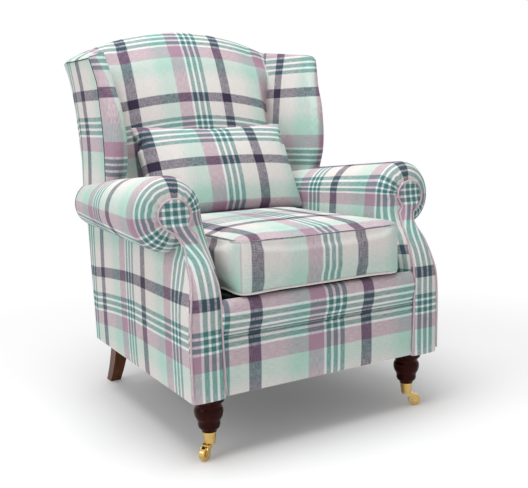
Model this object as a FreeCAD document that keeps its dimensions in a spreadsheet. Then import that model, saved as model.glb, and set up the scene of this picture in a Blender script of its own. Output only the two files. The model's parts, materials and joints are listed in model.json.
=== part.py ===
import FreeCAD, Part

import os
import re

import Sketcher

# A scroll-armed wing chair on turned front legs with brass cup castors. Millimetres, Z up, the front towards -Y,
# the origin on the floor under the middle. Right means +X. Each left piece mirrors its right one.

SIZES = {
    # the body of the chair
    "base_height": 152,  # floor to the underside of the seat rails
    "crest_height": 1042,  # floor to the top of the back
    "front_half": 362,  # middle to the outside arm, at the facings
    "rear_half": 336,  # middle to the outside arm, at the back
    "front_depth": 373,  # middle to the front of the arm facings
    "rear_depth": 310,  # middle to the outside back, at its lower edge
    "back_lean": 78,  # how far the outside back leans over its height
    "cover_thick": 4,  # cloth and wadding outside the frame
    # seat frame
    "rail_height": 134,
    "rail_thick": 25,
    "front_rail_thick": 22,
    "block_size": 70,
    "block_height": 60,
    # back frame
    "post_outer": 292,
    "post_wide": 36,
    "post_deep": 38,
    "crest_pad": 35,  # padding over the crest rail
    "crest_rail_deep": 48,  # rail height at its ends, under the arch
    "crest_half": 366,
    "crest_rise": 92,  # how much the top of the back arches over that half width
    "tack_rail_high": 45,
    "tack_rail_thick": 22,
    "lower_rail_foot": 438,
    # arms
    "facing_thick": 17,
    "scroll_back": 90,  # how far the scroll stands behind the foot of the facing
    "sweep_foot": 352,
    "sweep_head": 590,
    "neck_middle": 319,
    "neck_half": 19,
    "neck_height": 504,
    "facing_inner": 278,
    "facing_knee": 392,
    "facing_knee_inner": 284,
    "disc_radius": 37,
    "disc_middle": 347,
    "scroll_middle": 350,
    "scroll_height": 566,
    "scroll_radius": 88,
    "scroll_end": 235,  # middle to where the roll turns in to the facing
    "dome_depth": 43,
    "roll_rear": 345,
    "roll_rear_middle": 305,
    "roll_rear_height": 545,
    "roll_rear_radius": 64,
    "arm_inner_front": 254,
    "arm_inner_rear": 247,
    "arm_pad_foot": 340,
    "arm_post_thick": 28,
    "arm_post_deep": 46,
    "arm_board_wide": 60,
    "arm_board_rear": 50,
    "arm_board_thick": 24,
    "arm_board_drop": 20,
    "arm_tack_foot": 400,
    "arm_tack_high": 26,
    # wings: height, front edge, outer and inner face at five levels
    "wing_a_height": 560,
    "wing_a_front": 130,
    "wing_a_outer": 340,
    "wing_a_inner": 296,
    "wing_b_height": 680,
    "wing_b_front": 85,
    "wing_b_outer": 340,
    "wing_b_inner": 294,
    "wing_c_height": 780,
    "wing_c_front": 91,
    "wing_c_outer": 343,
    "wing_c_inner": 296,
    "wing_d_height": 870,
    "wing_d_front": 121,
    "wing_d_outer": 351,
    "wing_d_inner": 304,
    "wing_e_height": 1000,
    "wing_e_front": 170,
    "wing_e_outer": 372,
    "wing_e_inner": 328,
    "wing_inner_rear": 258,
    "wing_inner_depth": 320,
    "wing_pad": 10,  # padding outside the wing's wood
    "wing_edge_pad": 22,
    "wing_wood": 24,
    "wing_wood_deep": 35,
    "wing_board_foot": 905,
    "wing_board_thick": 22,
    "stile_deep": 30,
    "stile_waist": 334,
    "stile_waist_height": 700,
    # seat
    "strap_wide": 50,
    "strap_thick": 2,
    "strap_lap": 25,
    "seat_strap_pitch": 78,
    "cross_strap_pitch": 98,
    "cross_strap_first": 285,  # middle to the front edge of the first cross strap
    "back_strap_pitch": 112,
    "back_pad_foot": 340,
    "dust_thick": 1.5,
    "lumbar_height": 510,
    "lumbar_front": 183,
    "crest_front": 325,
    "crest_roll": 40,
    "seat_top": 378,
    "platform_half": 246,
    "panel_back": 7,  # how far the front panel stands behind the facings
    "panel_thick": 10,
    "piping_radius": 2.6,
    "piping_height": 296.5,
    "lip_proud": 12,
    "cushion_half": 239,
    "cushion_front": 382,
    "cushion_rear": 171,
    "cushion_edge": 508.6,
    "cushion_crown": 12,
    "cushion_corner": 30,
    "draw_in": 4,
    "cushion_skin": 2,
    "fit_gap": 0.3,
    # loose cushion
    "pillow_half": 240,
    "pillow_high": 280,
    "pillow_thick": 110,
    "pillow_draw": 8,
    "pillow_tilt": 26,
    "pillow_set": 42,  # how far its middle stands before the lumbar
    "pad_half": 180,
    "pad_high": 200,
    "pad_thick": 44,
    # legs
    "leg_across": 300,
    "leg_forward": 323,
    "leg_collar": 37.5,  # radii, from the top of the turning down
    "leg_throat": 31,
    "leg_bulb": 34,
    "leg_step": 28,
    "leg_ring": 26,
    "leg_ankle": 17,
    "leg_collar_high": 17,
    "leg_throat_high": 13,
    "leg_step_high": 6,
    "leg_ring_high": 17,
    "leg_ankle_high": 7,
    "bolt_radius": 4,
    "bolt_bite": 42,
    "nut_radius": 7.5,
    "nut_thick": 6.5,
    "rear_leg_wide": 40,
    "rear_leg_deep": 42,
    "rear_leg_foot": 32,
    "rear_leg_sweep": 81,
    "rear_leg_curve": 500,
    "foot_taper": 4,
    # castors
    "wheel_radius": 16,
    "wheel_wide": 13,
    "wheel_edge": 1.5,
    "axle_radius": 2.5,
    "run_gap": 0.05,  # radial clearance of pin and axle
    "castor_offset": 22,
    "castor_turn": 28.6,
    "cheek_thick": 2.5,
    "fork_eye": 6.5,
    "fork_height": 37.2,
    "crown_thick": 4.2,
    "crown_radius": 11.5,
    "cup_foot": 37.5,
    "cup_top": 64.5,
    "cup_low_radius": 13.5,
    "cup_radius": 16.5,
    "cup_bore": 12,
    "cup_floor": 3.5,
    "pin_radius": 3.5,
    "pin_head_radius": 5,
    "pin_head_high": 2,
}

SUMS = {
    "side_taper": "(front_half - rear_half) / (front_depth + rear_depth)",
    "lean": "back_lean / (crest_height - base_height)",
    "rail_top": "base_height + rail_height",
    "rail_front": "facing_thick - front_depth",
    "rail_back": "rail_front + front_rail_thick",
    "leg_face": "rear_depth - cover_thick - rear_leg_deep",
    "sweep_half": "scroll_back / 2",
    "sweep_rise": "(sweep_head - sweep_foot) / 2",
    "sweep_radius": "(sweep_half ^ 2 + sweep_rise ^ 2) / scroll_back",
    "post_inner": "post_outer - post_wide",
    "crest_radius": "(crest_half ^ 2 + crest_rise ^ 2) / (2 * crest_rise)",
    "rail_radius": "crest_radius - crest_pad",
    "rail_drop": "rail_radius - sqrt(rail_radius ^ 2 - post_outer ^ 2)",
    "crest_end": "crest_height - crest_pad - rail_drop",
    "crest_foot": "crest_end - crest_rail_deep",
    "board_front": "scroll_back + facing_thick + arm_post_deep - front_depth",
    "board_slope": "arm_board_drop / (roll_rear + scroll_end)",
    "roll_drift": "(scroll_middle - roll_rear_middle) / (roll_rear + scroll_end)",
    "wing_head": "(wing_board_foot - wing_d_height) / (wing_e_height - wing_d_height)",
    "wing_head_outer": "wing_d_outer + (wing_e_outer - wing_d_outer) * wing_head",
    "wing_head_front": "wing_d_front + (wing_e_front - wing_d_front) * wing_head",
    "panel_front": "panel_back - front_depth",
    "pin_head_foot": "cup_foot + cup_floor + fit_gap",
    "leg_end": "pin_head_foot + pin_head_high + fit_gap",
    "leg_ring_foot": "cup_top + leg_ankle_high",
    "leg_bulb_foot": "leg_ring_foot + leg_ring_high + leg_step_high",
    "leg_collar_foot": "base_height - leg_collar_high",
    "leg_throat_foot": "leg_collar_foot - leg_throat_high",
    "cushion_foot": "seat_top + fit_gap",
    "pillow_rise": "cushion_edge + cushion_crown * 0.32 + fit_gap + pillow_high / 2 * cos(pillow_tilt * 1 deg)",
    "pillow_middle": "lumbar_front - pillow_set",
    "wheel_rise": "wheel_radius",
    "slot_half": "wheel_wide / 2 + 0.5",
}

doc = FreeCAD.newDocument("wing_chair")
sheet = doc.addObject("Spreadsheet::Sheet", "Sizes")
for row, (cell_name, cell_size) in enumerate(SIZES.items(), 1):
    sheet.set(f"A{row}", cell_name)
    sheet.set(f"B{row}", str(cell_size))
    sheet.setAlias(f"B{row}", cell_name)
doc.recompute()


def spelled(text):
    """The formula with worked-out sizes spelled out and each cell named in full."""

    def full(match):
        word = match.group(0)
        if word in SUMS:
            return "(" + spelled(SUMS[word]) + ")"
        return "Sizes." + word if word in SIZES else word

    return re.sub(r"[a-z]+(?:_[a-z]+)*", full, str(text))


def value(text):
    return float(sheet.evalExpression(spelled(text)))


def side_at(depth):
    """Half width of the outside arm at a depth: the plan narrows towards the back."""
    return f"(front_half - side_taper * ({depth} + front_depth))"


def frame_at(depth):
    return f"({side_at(depth)} - cover_thick)"


def back_at(height):
    """Depth of the outside back at a height: the back leans."""
    return f"(rear_depth + lean * ({height} - base_height))"


def post_back(height):
    return f"({back_at(height)} - cover_thick)"


def post_face(height):
    return f"({back_at(height)} - cover_thick - post_deep)"


# how full the back's padding is across its width: place, and crown as a share of its height
BACK_CROWN = ((-1, 0.01), (-0.62, 0.035), (0, 0.045), (0.62, 0.035), (1, 0.01))
PLANES = {"XY_Plane": ("", False), "XZ_Plane": ("-", True), "YZ_Plane": ("", False)}
pieces = {}


def body(name):
    thing = doc.addObject("PartDesign::Body", name)
    thing.Label = name
    return thing


def sketch(owner, name, plane, corners, at="0", aside="0", lift="0"):
    """A closed outline. A corner is (across, up); a radius and a turn bend the side that ends there."""
    drawing = owner.newObject("Sketcher::SketchObject", name)
    base = [f for f in owner.Origin.OriginFeatures if f.Role == plane][0]
    drawing.AttachmentSupport = [(base, "")]
    drawing.MapMode = "FlatFace"
    drawing.setExpression("AttachmentOffset.Base.z", spelled(f"{PLANES[plane][0]}({at})"))
    drawing.setExpression("AttachmentOffset.Base.x", spelled(aside))
    drawing.setExpression("AttachmentOffset.Base.y", spelled(lift))
    spots = [FreeCAD.Vector(value(c[0]), value(c[1]), 0) for c in corners]
    ends = []
    for i, corner in enumerate(corners):
        start, end = spots[i - 1], spots[i]
        if len(corner) == 2:
            drawing.addGeometry(Part.LineSegment(start, end))
            ends.append((1, 2))
            continue
        radius, turn = value(corner[2]), corner[3]
        half = (end - start) * 0.5
        side = FreeCAD.Vector(-half.y, half.x, 0).normalize() * turn
        centre = start + half + side * max(radius**2 - half.Length**2, 0) ** 0.5
        angles = [(p - centre) for p in ((start, end) if turn > 0 else (end, start))]
        first, last = [FreeCAD.Vector(1, 0, 0).getAngle(a) * (1 if a.y >= 0 else -1) for a in angles]
        circle = Part.Circle(centre, FreeCAD.Vector(0, 0, 1), radius)
        drawing.addGeometry(Part.ArcOfCircle(circle, first, last if last > first else last + 6.283185307179586))
        ends.append((1, 2) if turn > 0 else (2, 1))
    count = len(corners)
    for i, corner in enumerate(corners):
        after = (i + 1) % count
        drawing.addConstraint(Sketcher.Constraint("Coincident", i, ends[i][1], after, ends[after][0]))
        for kind, text in (("DistanceX", corner[0]), ("DistanceY", corner[1])):
            n = drawing.addConstraint(Sketcher.Constraint(kind, -1, 1, i, ends[i][1], value(text)))
            drawing.setExpression(f"Constraints[{n}]", spelled(text))
        if len(corner) > 2:
            n = drawing.addConstraint(Sketcher.Constraint("Radius", i, value(corner[2])))
            drawing.setExpression(f"Constraints[{n}]", spelled(corner[2]))
    return drawing


def round_sketch(owner, name, plane, centre, radius, at="0"):
    drawing = owner.newObject("Sketcher::SketchObject", name)
    base = [f for f in owner.Origin.OriginFeatures if f.Role == plane][0]
    drawing.AttachmentSupport = [(base, "")]
    drawing.MapMode = "FlatFace"
    drawing.setExpression("AttachmentOffset.Base.z", spelled(f"{PLANES[plane][0]}({at})"))
    middle = FreeCAD.Vector(value(centre[0]), value(centre[1]), 0)
    drawing.addGeometry(Part.Circle(middle, FreeCAD.Vector(0, 0, 1), value(radius)))
    for kind, text in (("DistanceX", centre[0]), ("DistanceY", centre[1])):
        n = drawing.addConstraint(Sketcher.Constraint(kind, -1, 1, 0, 3, value(text)))
        drawing.setExpression(f"Constraints[{n}]", spelled(text))
    n = drawing.addConstraint(Sketcher.Constraint("Radius", 0, value(radius)))
    drawing.setExpression(f"Constraints[{n}]", spelled(radius))
    return drawing


def pad(owner, drawing, plane, length):
    feature = owner.newObject("PartDesign::Pad", drawing.Name + "_pad")
    feature.Profile = drawing
    feature.setExpression("Length", spelled(length))
    feature.Reversed = PLANES[plane][1]
    return feature


def prism(name, plane, corners, start, length):
    """An outline carried straight from start, along the plane's own axis."""
    owner = body(name)
    pad(owner, sketch(owner, name + "_outline", plane, corners, start), plane, length)
    return owner


def lofted(name, plane, sections, ruled=False):
    owner = body(name)
    drawings = [sketch(owner, f"{name}_{i}", plane, corners, at) for i, (at, corners) in enumerate(sections)]
    loft = owner.newObject("PartDesign::AdditiveLoft", name + "_loft")
    loft.Profile = drawings[0]
    loft.Sections = drawings[1:]
    loft.Ruled = ruled
    return owner


def turned(name, plane, corners, at="0", aside="0", lift="0", axis="V_Axis"):
    owner = body(name)
    drawing = sketch(owner, name + "_profile", plane, corners, at, aside, lift)
    spin = owner.newObject("PartDesign::Revolution", name + "_turn")
    spin.Profile = drawing
    spin.ReferenceAxis = (drawing, [axis])
    spin.Angle = 360
    return owner


def cylinder(name, radius, length, across, depth, height, axis=(0, 0, 1)):
    thing = doc.addObject("Part::Cylinder", name)
    thing.Placement.Rotation = FreeCAD.Rotation(FreeCAD.Vector(0, 0, 1), FreeCAD.Vector(*axis))
    thing.setExpression("Radius", spelled(radius))
    thing.setExpression("Height", spelled(length))
    for letter, text in zip("xyz", (across, depth, height)):
        thing.setExpression(f"Placement.Base.{letter}", spelled(text))
    return thing


def box(name, sizes, place):
    thing = doc.addObject("Part::Box", name)
    for side, text in zip(("Length", "Width", "Height"), sizes):
        thing.setExpression(side, spelled(text))
    for letter, text in zip("xyz", place):
        thing.setExpression(f"Placement.Base.{letter}", spelled(text))
    return thing


def compound(name, things):
    group = doc.addObject("Part::Compound", name)
    group.Links = list(things)
    return group


def fused(name, *things):
    whole = doc.addObject("Part::MultiFuse", name)
    whole.Refine = False
    whole.Shapes = list(things)
    return whole


def common(name, first, second):
    shared = doc.addObject("Part::Common", name)
    shared.Base = first
    shared.Tool = second
    return shared


def cut(name, base, *tools):
    for i, tool in enumerate(tools):
        rest = doc.addObject("Part::Cut", name if i == len(tools) - 1 else f"{name}_cut_{i}")
        rest.Base = base
        rest.Tool = tool
        base = rest
    return base


def mirrored(name, source):
    twin = doc.addObject("Part::Mirroring", name)
    twin.Source = source
    twin.Normal = (1, 0, 0)
    twin.Base = (0, 0, 0)
    return twin


def node(name, thing):
    thing.Label = name
    pieces[name] = thing
    return thing


def pair(name, thing):
    """The right piece and its mirrored left one."""
    node(name + "_right", thing)
    node(name + "_left", mirrored(name + "_mirror", thing))
    return thing


def arch(half, rise):
    """Radius of an arc over a chord of twice the half, which stands rise above it."""
    return f"(({half}) ^ 2 + ({rise}) ^ 2) / (2 * ({rise}))"


def sweep(back):
    """The facing's side view from its foot to its scroll, moved back by a thickness: two arcs that meet half way."""
    y_foot = f"{back} - front_depth"
    y_half = f"sweep_half - front_depth + {back} * (1 - sweep_half / sweep_radius)"
    z_half = f"sweep_foot + sweep_rise - {back} * sweep_rise / sweep_radius"
    y_head = f"scroll_back - front_depth + {back}"
    return (y_foot, "sweep_foot"), (y_half, z_half), (y_head, "sweep_head")


def ring(across, up, radius, first, last, count):
    """Corners of an arc's chords about a centre, from one angle to another."""
    turns = [f"({first} + ({last} - {first}) * {i} / {count})" for i in range(count + 1)]
    return [(f"{across} + {radius} * cos({turn})", f"{up} + {radius} * sin({turn})") for turn in turns]


def bowed(start, end, share, count):
    """Corners of a shallow arc's chords. It stands off its own chord to the left by that share of the chord."""
    run, climb = f"({end[0]} - ({start[0]}))", f"({end[1]} - ({start[1]}))"
    corners = []
    for i in range(1, count):
        part = i / count
        off = f"({share}) * {4 * part * (1 - part):.4f}"
        corners.append((f"{start[0]} + {run} * {part:.4f} - {climb} * {off}",
                        f"{start[1]} + {climb} * {part:.4f} + {run} * {off}"))
    return [*corners, end]


# the seat frame

y_rear = "(rear_depth - cover_thick)"
y_bar = "(leg_face - rail_thick)"
front_rail = node("front_seat_rail", prism("front_rail", "XY_Plane", [
    (f"-{frame_at('rail_front')}", "rail_front"),
    (frame_at("rail_front"), "rail_front"),
    (frame_at("rail_back"), "rail_back"),
    (f"-{frame_at('rail_back')}", "rail_back"),
], "base_height", "rail_height"))

side_rail = pair("side_seat_rail", prism("side_rail", "XY_Plane", [
    (f"{frame_at('rail_back')} - rail_thick", "rail_back"),
    (frame_at("rail_back"), "rail_back"),
    (frame_at(y_rear), y_rear),
    (f"{frame_at(y_rear)} - rail_thick", y_rear),
], "base_height", "rail_height"))

back_rail_plain = prism("back_rail_plain", "XY_Plane", [
    (f"rail_thick - {frame_at(y_bar)}", y_bar),
    (f"{frame_at(y_bar)} - rail_thick", y_bar),
    (f"{frame_at('leg_face')} - rail_thick", "leg_face"),
    (f"rail_thick - {frame_at('leg_face')}", "leg_face"),
], "base_height", "rail_height")


def block(name, wall, towards):
    """A corner block between a cross rail and the side rail, its inner corner sawn off."""
    far = f"({wall} + {towards} * block_size)"
    near = f"({wall} + {towards} * block_size * 0.3)"
    side = [f"({frame_at(y)} - rail_thick)" for y in (wall, far)]
    corners = [
        (f"{side[0]} - block_size * 1.1", wall),
        (side[0], wall),
        (side[1], far),
        (f"{side[1]} - block_size * 0.25", far),
        (f"{side[0]} - block_size * 1.1", near),
    ]
    if towards < 0:
        corners.reverse()
    return prism(name, "XY_Plane", corners, "base_height", "block_height")


block_front = block("block_front", "rail_back", 1)
block_rear = block("block_rear", y_bar, -1)

# turned front legs, with a bolt up through the corner block

ring_foot = ("leg_ring - 2", "leg_ring_foot")
ring_top = ("leg_ring - 1", "leg_ring_foot + leg_ring_high")
bulb_foot = ("leg_step", "leg_bulb_foot")
throat_foot = ("leg_bulb - 1", "leg_throat_foot")
collar_foot = ("leg_collar - 1", "leg_collar_foot")
leg_plain = turned("leg_plain", "XZ_Plane", [
    ("0", "leg_end"),
    ("cup_bore", "leg_end"),
    ("cup_bore", "cup_top"),
    ("leg_ankle", "cup_top"),
    ("leg_ankle", "cup_top + 3"),
    ring_foot,
    *bowed(ring_foot, ring_top, "-0.13", 2),
    ("leg_step", "leg_bulb_foot - 3"),
    bulb_foot,
    *bowed(bulb_foot, throat_foot, "-0.15", 3),
    ("leg_throat", "leg_throat_foot + 5"),
    ("leg_throat", "leg_collar_foot - 4"),
    collar_foot,
    ("leg_collar", "leg_collar_foot + leg_collar_high / 2"),
    ("leg_collar", "base_height"),
    ("0", "base_height"),
], "-leg_forward", "leg_across")
bolt_stem = cylinder("bolt_stem", "bolt_radius", "bolt_bite + block_height + nut_thick", "leg_across", "-leg_forward",
                     "base_height - bolt_bite")
nut = doc.addObject("Part::Prism", "bolt_nut")
nut.Polygon = 6
nut.setExpression("Circumradius", spelled("nut_radius"))
nut.setExpression("Height", spelled("nut_thick"))
for letter, text in zip("xyz", ("leg_across", "-leg_forward", "base_height + block_height")):
    nut.setExpression(f"Placement.Base.{letter}", spelled(text))
leg_bolt = pair("front_leg_bolt", fused("leg_bolt", bolt_stem, nut))
block_front_bored = cut("block_front_bored", block_front, bolt_stem)
node("corner_blocks", compound("corner_block_set", [
    block_front_bored,
    mirrored("block_front_twin", block_front_bored),
    block_rear,
    mirrored("block_rear_twin", block_rear),
]))

# brass cup castors: cup, fork with its riveted pin, axle and wheel

cup = turned("castor_cup_body", "XZ_Plane", [
    ("pin_radius + run_gap", "cup_foot"),
    ("cup_low_radius", "cup_foot"),
    ("cup_radius", "cup_top"),
    ("cup_bore", "cup_top"),
    ("cup_bore", "cup_foot + cup_floor"),
    ("pin_radius + run_gap", "cup_foot + cup_floor"),
], "-leg_forward", "leg_across")
node("castor_cups", compound("castor_cup_pair", [cup, mirrored("castor_cup_twin", cup)]))
leg_bored = cut("front_leg_bored", leg_plain, bolt_stem)
node("front_legs", compound("front_leg_pair", [leg_bored, mirrored("front_leg_twin", leg_bored)]))


def castor_place(thing):
    """The castor is drawn with its horn along +X, then stood under its leg and turned."""
    thing.setExpression("Placement.Base.x", "Sizes.leg_across")
    thing.setExpression("Placement.Base.y", "-Sizes.leg_forward")
    thing.Placement.Rotation = FreeCAD.Rotation(FreeCAD.Vector(0, 0, 1), -value("castor_turn"))
    return thing


horn = prism("castor_horn", "XZ_Plane", [
    ("-crown_radius * 0.8", "fork_height - crown_thick"),
    ("crown_radius * 0.2", "fork_height - crown_thick - 1"),
    ("castor_offset - fork_eye", "wheel_rise + 3"),
    ("castor_offset - fork_eye * 0.5", "wheel_rise - fork_eye * 0.87", "fork_eye", 1),
    ("castor_offset + fork_eye * 0.87", "wheel_rise - fork_eye * 0.5", "fork_eye", 1),
    ("castor_offset + fork_eye * 0.87", "wheel_rise + fork_eye * 0.5", "fork_eye", 1),
    ("castor_offset - 5", "fork_height - 1.5", "22", 1),
    ("crown_radius * 0.4", "fork_height"),
    ("-crown_radius * 0.8", "fork_height"),
], "-slot_half - cheek_thick", "2 * (slot_half + cheek_thick)")
wheel_slot = doc.addObject("Part::Cylinder", "wheel_slot")
wheel_slot.Placement.Rotation = FreeCAD.Rotation(FreeCAD.Vector(1, 0, 0), 90)
wheel_slot.setExpression("Radius", spelled("wheel_radius + 1.2"))
wheel_slot.setExpression("Height", spelled("2 * slot_half"))
wheel_slot.setExpression("Placement.Base.x", spelled("castor_offset"))
wheel_slot.setExpression("Placement.Base.y", spelled("slot_half"))
wheel_slot.setExpression("Placement.Base.z", spelled("wheel_rise"))
axle = doc.addObject("Part::Cylinder", "axle_rod")
axle.Placement.Rotation = FreeCAD.Rotation(FreeCAD.Vector(1, 0, 0), 90)
axle.setExpression("Radius", spelled("axle_radius"))
axle.setExpression("Height", spelled("2 * (slot_half + cheek_thick) + 1.6"))
axle.setExpression("Placement.Base.x", spelled("castor_offset"))
axle.setExpression("Placement.Base.y", spelled("slot_half + cheek_thick + 0.8"))
axle.setExpression("Placement.Base.z", spelled("wheel_rise"))
crown = cylinder("fork_crown", "crown_radius", "crown_thick", "0", "0", "fork_height - crown_thick")
pin = turned("fork_pin", "XZ_Plane", [
    ("0", "fork_height - 1"),
    ("pin_radius", "fork_height - 1"),
    ("pin_radius", "pin_head_foot"),
    ("pin_head_radius", "pin_head_foot"),
    ("pin_head_radius", "pin_head_foot + pin_head_high"),
    ("0", "pin_head_foot + pin_head_high"),
])
fork_whole = fused("fork_whole", horn, crown, pin)
fork_shape = cut("fork_shape", fork_whole, wheel_slot, axle)
wheel_shape = turned("wheel_shape", "XY_Plane", [
    ("axle_radius + run_gap", "-wheel_wide / 2"),
    ("wheel_radius - wheel_edge", "-wheel_wide / 2"),
    ("wheel_radius", "wheel_edge - wheel_wide / 2"),
    ("wheel_radius", "wheel_wide / 2 - wheel_edge"),
    ("wheel_radius - wheel_edge", "wheel_wide / 2"),
    ("axle_radius + run_gap", "wheel_wide / 2"),
], "wheel_rise", "castor_offset")
for name, thing in (("fork", fork_shape), ("axle", axle), ("wheel", wheel_shape)):
    pair("castor_" + name, castor_place(compound(f"{name}_placed", [thing])))

# rear legs, swept back, each bolted through the back rail

leg_side = prism("rear_leg_side", "YZ_Plane", [
    ("leg_face", "base_height"),
    ("leg_face + rear_leg_sweep", "0", "rear_leg_curve", 1),
    ("leg_face + rear_leg_sweep + rear_leg_foot", "0"),
    (y_rear, "base_height", "rear_leg_curve", -1),
    (post_back("rail_top"), "rail_top"),
    ("leg_face", "rail_top"),
], "post_outer - rear_leg_wide", "rear_leg_wide")
leg_front = prism("rear_leg_front", "XZ_Plane", [
    ("post_outer - rear_leg_wide + foot_taper", "0"),
    ("post_outer - foot_taper", "0"),
    ("post_outer", "base_height"),
    ("post_outer", "rail_top"),
    ("post_outer - rear_leg_wide", "rail_top"),
    ("post_outer - rear_leg_wide", "base_height"),
], "0", "front_depth + rear_depth")
rear_leg_plain = common("rear_leg_plain", leg_side, leg_front)


def coach_bolt(name, height):
    """A bolt from inside the back rail into the leg, its hexagon head against the rail."""
    shank = cylinder(name + "_shank", "bolt_radius", "rail_thick + rear_leg_deep - 8", "post_outer - rear_leg_wide / 2",
                     y_bar, height, (0, 1, 0))
    head = doc.addObject("Part::Prism", name + "_head")
    head.Polygon = 6
    head.Placement.Rotation = FreeCAD.Rotation(FreeCAD.Vector(0, 0, 1), FreeCAD.Vector(0, 1, 0))
    head.setExpression("Circumradius", spelled("nut_radius"))
    head.setExpression("Height", spelled("nut_thick"))
    for letter, text in zip("xyz", ("post_outer - rear_leg_wide / 2", f"{y_bar} - nut_thick", height)):
        head.setExpression(f"Placement.Base.{letter}", spelled(text))
    return shank, fused(name, shank, head)


low_shank, low_bolt = coach_bolt("coach_bolt_low", "base_height + block_height + 14")
high_shank, high_bolt = coach_bolt("coach_bolt_high", "rail_top - 22")
low_twin = mirrored("coach_bolt_low_twin", low_shank)
high_twin = mirrored("coach_bolt_high_twin", high_shank)
node("back_seat_rail", cut("back_rail_bored", back_rail_plain, low_shank, high_shank, low_twin, high_twin))
pair("rear_leg", cut("rear_leg_bored", rear_leg_plain, low_shank, high_shank))
pair("rear_leg_bolts", compound("rear_bolt_pair", [low_bolt, high_bolt]))

# the back frame: raked posts, an arched crest rail and a lower rail

post_top = "crest_foot"
back_post = pair("back_post", prism("back_post_body", "YZ_Plane", [
    (post_face("rail_top"), "rail_top"),
    (post_back("rail_top"), "rail_top"),
    (post_back(post_top), post_top),
    (post_face(post_top), post_top),
], "post_inner", "post_wide"))


def raked(name, foot, top, front, rear, half):
    """A board across the back, its faces along the rake."""
    return prism(name, "YZ_Plane", [
        (f"{post_face(foot)} + {front}", foot),
        (f"{post_face(foot)} + {rear}", foot),
        (f"{post_face(top)} + {rear}", top),
        (f"{post_face(top)} + {front}", top),
    ], f"-({half})", f"2 * ({half})")


crest_slab = raked("crest_slab", "crest_foot", "crest_height", "0", "post_deep", "post_outer")
crest_front = prism("crest_outline", "XZ_Plane", [
    ("-post_outer", "crest_foot"),
    ("post_outer", "crest_foot"),
    ("post_outer", "crest_end"),
    ("0", "crest_height - crest_pad", "rail_radius", 1),
    ("-post_outer", "crest_end", "rail_radius", 1),
], "0", "front_depth + rear_depth")
crest_rail = node("crest_rail", common("crest_rail_body", crest_slab, crest_front))
lower_rail = node("lower_back_rail", raked(
    "lower_rail", "lower_rail_foot", "lower_rail_foot + tack_rail_high", "0", "tack_rail_thick", "post_inner"))

# envelopes shared by the padded pieces

beyond_back = prism("beyond_back", "YZ_Plane", [
    (post_back("0"), "0"),
    ("2 * front_depth", "0"),
    ("2 * front_depth", "1.2 * crest_height"),
    (post_back("(1.2 * crest_height)"), "1.2 * crest_height"),
], "-front_depth * 1.3", "front_depth * 2.6")
back_room = prism("back_room", "YZ_Plane", [
    (f"{post_face('rail_top')} - 2 * strap_thick", "rail_top"),
    (post_back("rail_top"), "rail_top"),
    (post_back("(crest_foot + strap_lap)"), "crest_foot + strap_lap"),
    (f"{post_face('(crest_foot + strap_lap)')} - 2 * strap_thick", "crest_foot + strap_lap"),
], "-post_outer - fit_gap", "2 * (post_outer + fit_gap)")
under_arch = prism("under_arch", "XZ_Plane", [
    ("-crest_half * 1.1", "0"),
    ("crest_half * 1.1", "0"),
    ("crest_half * 1.1", "crest_height - (crest_radius - sqrt(crest_radius ^ 2 - (crest_half * 1.1) ^ 2))"),
    ("0", "crest_height", "crest_radius", 1),
    ("-crest_half * 1.1", "crest_height - (crest_radius - sqrt(crest_radius ^ 2 - (crest_half * 1.1) ^ 2))",
     "crest_radius", 1),
], "0", "2 * front_depth")

# arm frames

foot, half, head = sweep("facing_thick")
foot_b, half_b, head_b = sweep("facing_thick + arm_post_deep")
arm_post = pair("arm_post", prism("arm_post_body", "YZ_Plane", [
    foot_b,
    (*half_b, "sweep_radius - facing_thick - arm_post_deep", -1),
    (*head_b, "sweep_radius + facing_thick + arm_post_deep", 1),
    head,
    (*half, "sweep_radius + facing_thick", -1),
    (*foot, "sweep_radius - facing_thick", 1),
    (foot[0], "rail_top"),
    (foot_b[0], "rail_top"),
], "neck_middle - arm_post_thick / 2", "arm_post_thick"))


def roll_middle(depth):
    """The roll's axis runs in towards the back."""
    return f"(scroll_middle - roll_drift * ({depth} + scroll_end))"


def board_section(depth, wide):
    low = f"(scroll_height - 10 - board_slope * ({depth} + scroll_end))"
    return depth, [
        (f"{roll_middle(depth)} - {wide} / 2", low),
        (f"{roll_middle(depth)} + {wide} / 2", low),
        (f"{roll_middle(depth)} + {wide} / 2", f"{low} + arm_board_thick"),
        (f"{roll_middle(depth)} - {wide} / 2", f"{low} + arm_board_thick"),
    ]


def plan(inner, outer, front, rear):
    return [(inner, front), (outer, front), (outer, rear), (inner, rear)]


stile_foot_outer = f"({frame_at('roll_rear')} - 4)"
wing_stile = pair("wing_stile", lofted("wing_stile_body", "XY_Plane", [
    ("rail_top", plan(f"{stile_foot_outer} - rail_thick", stile_foot_outer,
                      f"{post_back('rail_top')} - stile_deep", post_back("rail_top"))),
    ("stile_waist_height", plan("stile_waist - rail_thick", "stile_waist",
                                f"{post_back('stile_waist_height')} - stile_deep", post_back("stile_waist_height"))),
    ("wing_board_foot", plan("wing_head_outer - wing_pad - rail_thick", "wing_head_outer - wing_pad",
                             f"{post_back('wing_board_foot')} - stile_deep", post_back("wing_board_foot"))),
], True))
arm_board = pair("arm_top_rail", cut("arm_board", lofted("arm_board_body", "XZ_Plane", [
    board_section("board_front", "arm_board_wide"),
    board_section("(rear_depth + 8)", "arm_board_rear"),
], True), back_room, wing_stile))
tack_front = "(arm_post_deep - front_depth + 14)"
arm_tack = pair("arm_tack_rail", cut("arm_tack", prism("arm_tack_body", "XY_Plane", [
    ("neck_middle - 8", tack_front),
    ("neck_middle + 14", tack_front),
    (f"{frame_at('rear_depth')} - 2", "rear_depth - cover_thick"),
    (f"{frame_at('rear_depth')} - 24", "rear_depth - cover_thick"),
], "arm_tack_foot", "arm_tack_high"), arm_post, wing_stile))


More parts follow.
